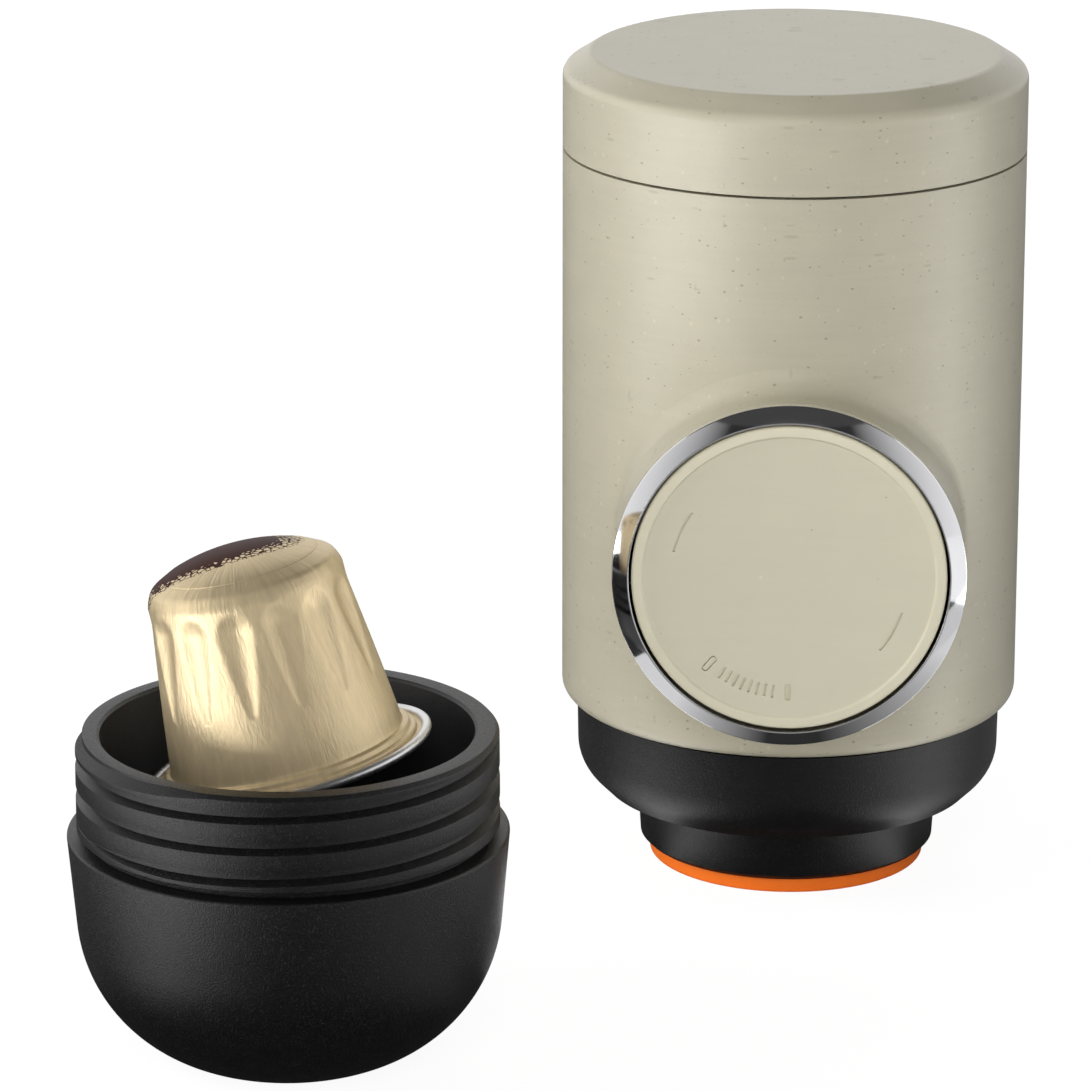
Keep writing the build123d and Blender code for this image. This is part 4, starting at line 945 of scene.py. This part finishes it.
def flute_shape(sizes):
    """Moves a point of the wall in where a flute presses it: a ball that sinks and grows as it climbs."""
    part = math.tau / sizes.flute_count
    depth = sizes.flute_depth / MM
    head_height, tip_height = 20.9, 10.6
    head_round, tip_round = 4.0, 0.6
    (foot_radius, foot), (top_radius, top) = CAPSULE_WALL_FOOT, CAPSULE_WALL_TOP
    balls = []
    for k in range(25):
        share = k / 24
        height = tip_height + (head_height - tip_height) * share
        wall = foot_radius - (foot_radius - top_radius) * (height - foot) / (top - foot)
        size = tip_round + (head_round - tip_round) * share
        balls.append((wall + size - depth * (0.04 + 0.96 * share ** 0.8), height, size))
    soft = 0.16
    known = {}

    def pressed(radius, height, angle):
        if not 9.0 < height < 24.5 or radius < 12.2:
            return radius, height
        away = round((angle - sizes.flute_turn + part / 2) % part - part / 2, 5)
        if (radius, height, abs(away)) not in known:
            best = radius + 2.0
            for out, level, size in balls:
                room = size ** 2 - (out * math.sin(away)) ** 2 - (height - level) ** 2
                if room > 0:
                    best = min(best, out * math.cos(away) - math.sqrt(room))
            blend = max(0.0, 1 - abs(best - radius) / (4 * soft))
            known[radius, height, abs(away)] = min(best, radius) - blend ** 2 * soft
        return known[radius, height, abs(away)], height

    return pressed


class ESPRESSO_OT_spring(bpy.types.Operator):
    """Copy the return spring's coil as a piece of its own, in place of its CAD node"""

    bl_idname = "espresso.spring"
    bl_label = "Return spring"

    def execute(self, context):
        node = frame["nodes"]["return_spring"]
        mesh = node.data.copy()
        mesh.name = "return_spring"
        made = bpy.data.objects.new("return_spring_coil", mesh)
        context.scene.collection.objects.link(made)
        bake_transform(made)
        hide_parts("return_spring")
        return {"FINISHED"}


class ESPRESSO_OT_stage(bpy.types.Operator):
    """Set the pale floor, the soft lights, the studio cards and the camera"""

    bl_idname = "espresso.stage"
    bl_label = "Stage"

    def execute(self, context):
        look = context.scene.espresso_stage
        scene = context.scene
        scene.view_settings.view_transform = "Standard"
        floor_mesh = flat_card(-6000, 6000, -6000, 6000, 0)
        floor_mesh.materials.append(existing("White paper sweep", paper_floor, look.floor))
        floor = bpy.data.objects.new("floor", floor_mesh)
        scene.collection.objects.link(floor)
        # a hair under the feet, so that the two surfaces don't fight
        floor.location.z = -0.02 * MM

        world = bpy.data.worlds.new("Studio")
        scene.world = world
        world.use_nodes = True
        tree = world.node_tree
        tree.nodes.clear()
        level = add_node(tree, "ShaderNodeMapRange", {
            "Value": background_rays(tree), "To Min": 0.14, "To Max": 1.0})
        sky = add_node(tree, "ShaderNodeBackground", {"Color": (1, 1, 1, 1), "Strength": level})
        add_node(tree, "ShaderNodeOutputWorld", {"Surface": sky})

        aim = Vector((-0.02, -0.02, 0.05))
        for name, azimuth, power in (
            ("left_box", -80, look.key),
            ("front_box", 0, look.front),
            ("left_rear_box", -120, look.fill / 4),
            ("right_rear_box", 120, look.fill / 4),
            ("rear_box", 176, look.fill),
        ):
            turn = math.radians(azimuth)
            soft_box(name, (0.85 * math.sin(turn), -0.85 * math.cos(turn), 0.36), aim, (0.3, 0.72), power)
        soft_box("top_box", (0, -0.05, 1.0), aim, (0.8, 0.8), look.top)

        # Black and white cards, as round a product table. Only glossy surfaces see them: they light
        # nothing and throw no shadow. Where there is none, the white floor and world show.
        flag("roof_card", flat_card(-1200, 1200, -1200, 1200, 1200), 0.06)
        flag("front_card", curved_card(-66, 66, 1250, 1200), 0.9, 600, 1120)
        for number, (level, height, *sides) in enumerate(TABLE_CARDS):
            flag(f"table_card_{number}", flat_card(*sides, height), level)
        flag("left_ramp_card", flat_card(-60, 0, -58, -36, 0.2), 0.75, 5, 34)
        flag("right_ramp_card", flat_card(0, 90, -58, -36, 0.2), 0.75, 8, 66)

        lens = bpy.data.cameras.new("camera")
        lens.sensor_width = 36.0
        lens.lens = 192.1
        camera = bpy.data.objects.new("camera", lens)
        camera.location = (0, -0.760, 0.27636)
        camera.rotation_euler = (math.radians(72.95), 0, math.radians(2.51))
        scene.collection.objects.link(camera)
        scene.camera = camera
        return {"FINISHED"}


# brightness, height, then the left, right, front and back edges, all in millimetres
TABLE_CARDS = (
    # round the cup
    (0.03, 0.05, -170, 40, -115, 80),
    (4.0, 0.1, -900, -170, -900, -100),
    (1.6, 0.1, -170, -95, -200, -100),
    (0.08, 0.1, -170, -95, -100, -30),
    (0.1, 0.1, -170, -30, -30, 80),
    (0.08, 0.1, -900, -170, -30, 900),
    (0.05, 0.1, -170, 170, 80, 900),
    (0.04, 0.1, -170, -30, -900, -200),
    (0.04, 0.1, -95, -30, -200, -110),
    # in front of the maker and to its right
    (0.3, 0.1, -30, 40, -900, -80),
    (0.04, 0.1, -40, 30, -80, -20),
    (0.08, 0.1, 40, 120, -150, -80),
    (0.65, 0.1, 30, 120, -80, -20),
    (0.2, 0.1, 30, 170, -20, 80),
    (5.0, 0.1, 120, 900, -80, -20),
    (1.4, 0.1, 170, 900, -20, 80),
    (0.2, 0.1, 170, 900, 80, 900),
    # the two bright strips under the outlet head
    (1.7, 0.2, -75, -19, -36, -11),
    (1.6, 0.2, 19, 110, -36, -11),
)


def soft_box(name, location, aim, size, power):
    """A rectangular soft light turned to its aim, which no mirror shows."""
    data = bpy.data.lights.new(name, "AREA")
    data.shape = "RECTANGLE"
    data.size, data.size_y = size
    data.energy = power
    box = bpy.data.objects.new(name, data)
    box.location = location
    box.rotation_euler = (aim - box.location).to_track_quat("-Z", "Y").to_euler()
    box.visible_camera = False
    box.visible_glossy = False
    bpy.context.scene.collection.objects.link(box)


def flag(name, mesh, level, dark_to=0, full_from=0):
    """A card that only glossy surfaces see, with a soft dark middle where dark_to is given."""
    mesh.materials.append(existing(
        f"Studio card, level {level}, {dark_to} to {full_from}", card_paper, level, dark_to, full_from))
    card = bpy.data.objects.new(name, mesh)
    bpy.context.scene.collection.objects.link(card)
    for kind in ("camera", "diffuse", "shadow", "transmission", "volume_scatter"):
        setattr(card, "visible_" + kind, False)


def card_paper(tree, level, dark_to, full_from):
    """A studio card, painted darker towards the middle of the stage where it has a ramp."""
    strength = level
    if full_from:
        place = add_node(tree, "ShaderNodeTexCoord")
        axes = add_node(tree, "ShaderNodeSeparateXYZ", {"Vector": place.outputs["Object"]})
        aside = add_node(tree, "ShaderNodeMath", {0: axes.outputs["X"]}, operation="ABSOLUTE")
        strength = add_node(tree, "ShaderNodeMapRange", {
            "Value": aside, "From Min": dark_to * MM, "From Max": full_from * MM,
            "To Min": 0.03, "To Max": level})
    return add_node(tree, "ShaderNodeEmission", {"Color": (1, 1, 1, 1), "Strength": strength})


def flat_card(x_low, x_high, y_low, y_high, height):
    """A level rectangle, in millimetres."""
    build = bmesh.new()
    build.faces.new([
        build.verts.new((x * MM, y * MM, height * MM))
        for x, y in ((x_low, y_low), (x_high, y_low), (x_high, y_high), (x_low, y_high))])
    return closed_mesh("card", build)


def curved_card(first, last, radius, height):
    """An upright card bent round the stage, in degrees from the front and millimetres."""
    build = bmesh.new()
    rows = []
    for k in range(13):
        angle = math.radians(first + (last - first) * k / 12)
        rows.append([
            build.verts.new((radius * MM * math.sin(angle), -radius * MM * math.cos(angle), z * MM))
            for z in (0, height)])
    for one, two in zip(rows, rows[1:]):
        build.faces.new((one[0], one[1], two[1], two[0]))
    return closed_mesh("card", build)


def background_rays(tree):
    """1 for what the camera, a mirror or glass sees, and 0 for the light that falls on things."""
    rays = add_node(tree, "ShaderNodeLightPath")
    seen = rays.outputs["Is Camera Ray"]
    for kind in ("Is Transmission Ray", "Is Glossy Ray"):
        seen = add_node(tree, "ShaderNodeMath", {0: seen, 1: rays.outputs[kind]}, operation="MAXIMUM")
    return seen


def paper_floor(tree, colour):
    """A white paper sweep, which the eye sees as plain white with the object's soft shadow."""
    paper = add_node(tree, "ShaderNodeBsdfDiffuse", {"Color": shade(colour)})
    white = add_node(tree, "ShaderNodeEmission", {"Color": (1, 1, 1, 1), "Strength": 0.93})
    thin = add_node(tree, "ShaderNodeBsdfDiffuse", {"Color": (0.14, 0.14, 0.14, 1)})
    bright = add_node(tree, "ShaderNodeAddShader", {0: white, 1: thin})
    return add_node(tree, "ShaderNodeMixShader", {0: background_rays(tree), 1: paper, 2: bright})


OPERATORS = (
    ESPRESSO_OT_stage,
    ESPRESSO_OT_shells,
    ESPRESSO_OT_bezel,
    ESPRESSO_OT_knob,
    ESPRESSO_OT_cup,
    ESPRESSO_OT_capsule,
    ESPRESSO_OT_spring,
)


class ESPRESSO_PT_panel(bpy.types.Panel):
    """Builds the espresso maker's pieces one by one"""

    bl_label = "Espresso maker"
    bl_idname = "ESPRESSO_PT_panel"
    bl_space_type = "VIEW_3D"
    bl_region_type = "UI"
    bl_category = "Espresso maker"

    def draw(self, context):
        for made in OPERATORS:
            self.layout.operator(made.bl_idname)
        for name, group in SETTINGS.items():
            box = self.layout.box()
            for key in group.__annotations__:
                box.prop(getattr(context.scene, name), key)


SETTINGS = {
    "espresso_shells": ShellSettings,
    "espresso_knob": KnobSettings,
    "espresso_cup": CupSettings,
    "espresso_capsule": CapsuleSettings,
    "espresso_stage": StageSettings,
}


def register():
    for made in (*SETTINGS.values(), *OPERATORS, ESPRESSO_PT_panel):
        bpy.utils.register_class(made)
    for name, group in SETTINGS.items():
        setattr(bpy.types.Scene, name, PointerProperty(type=group))


def unregister():
    for name in SETTINGS:
        delattr(bpy.types.Scene, name)
    for made in reversed((*SETTINGS.values(), *OPERATORS, ESPRESSO_PT_panel)):
        bpy.utils.unregister_class(made)


def main():
    register()
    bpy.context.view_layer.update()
    for made in OPERATORS:
        group, name = made.bl_idname.split(".")
        getattr(getattr(bpy.ops, group), name)()


if __name__ == "__main__":
    main()
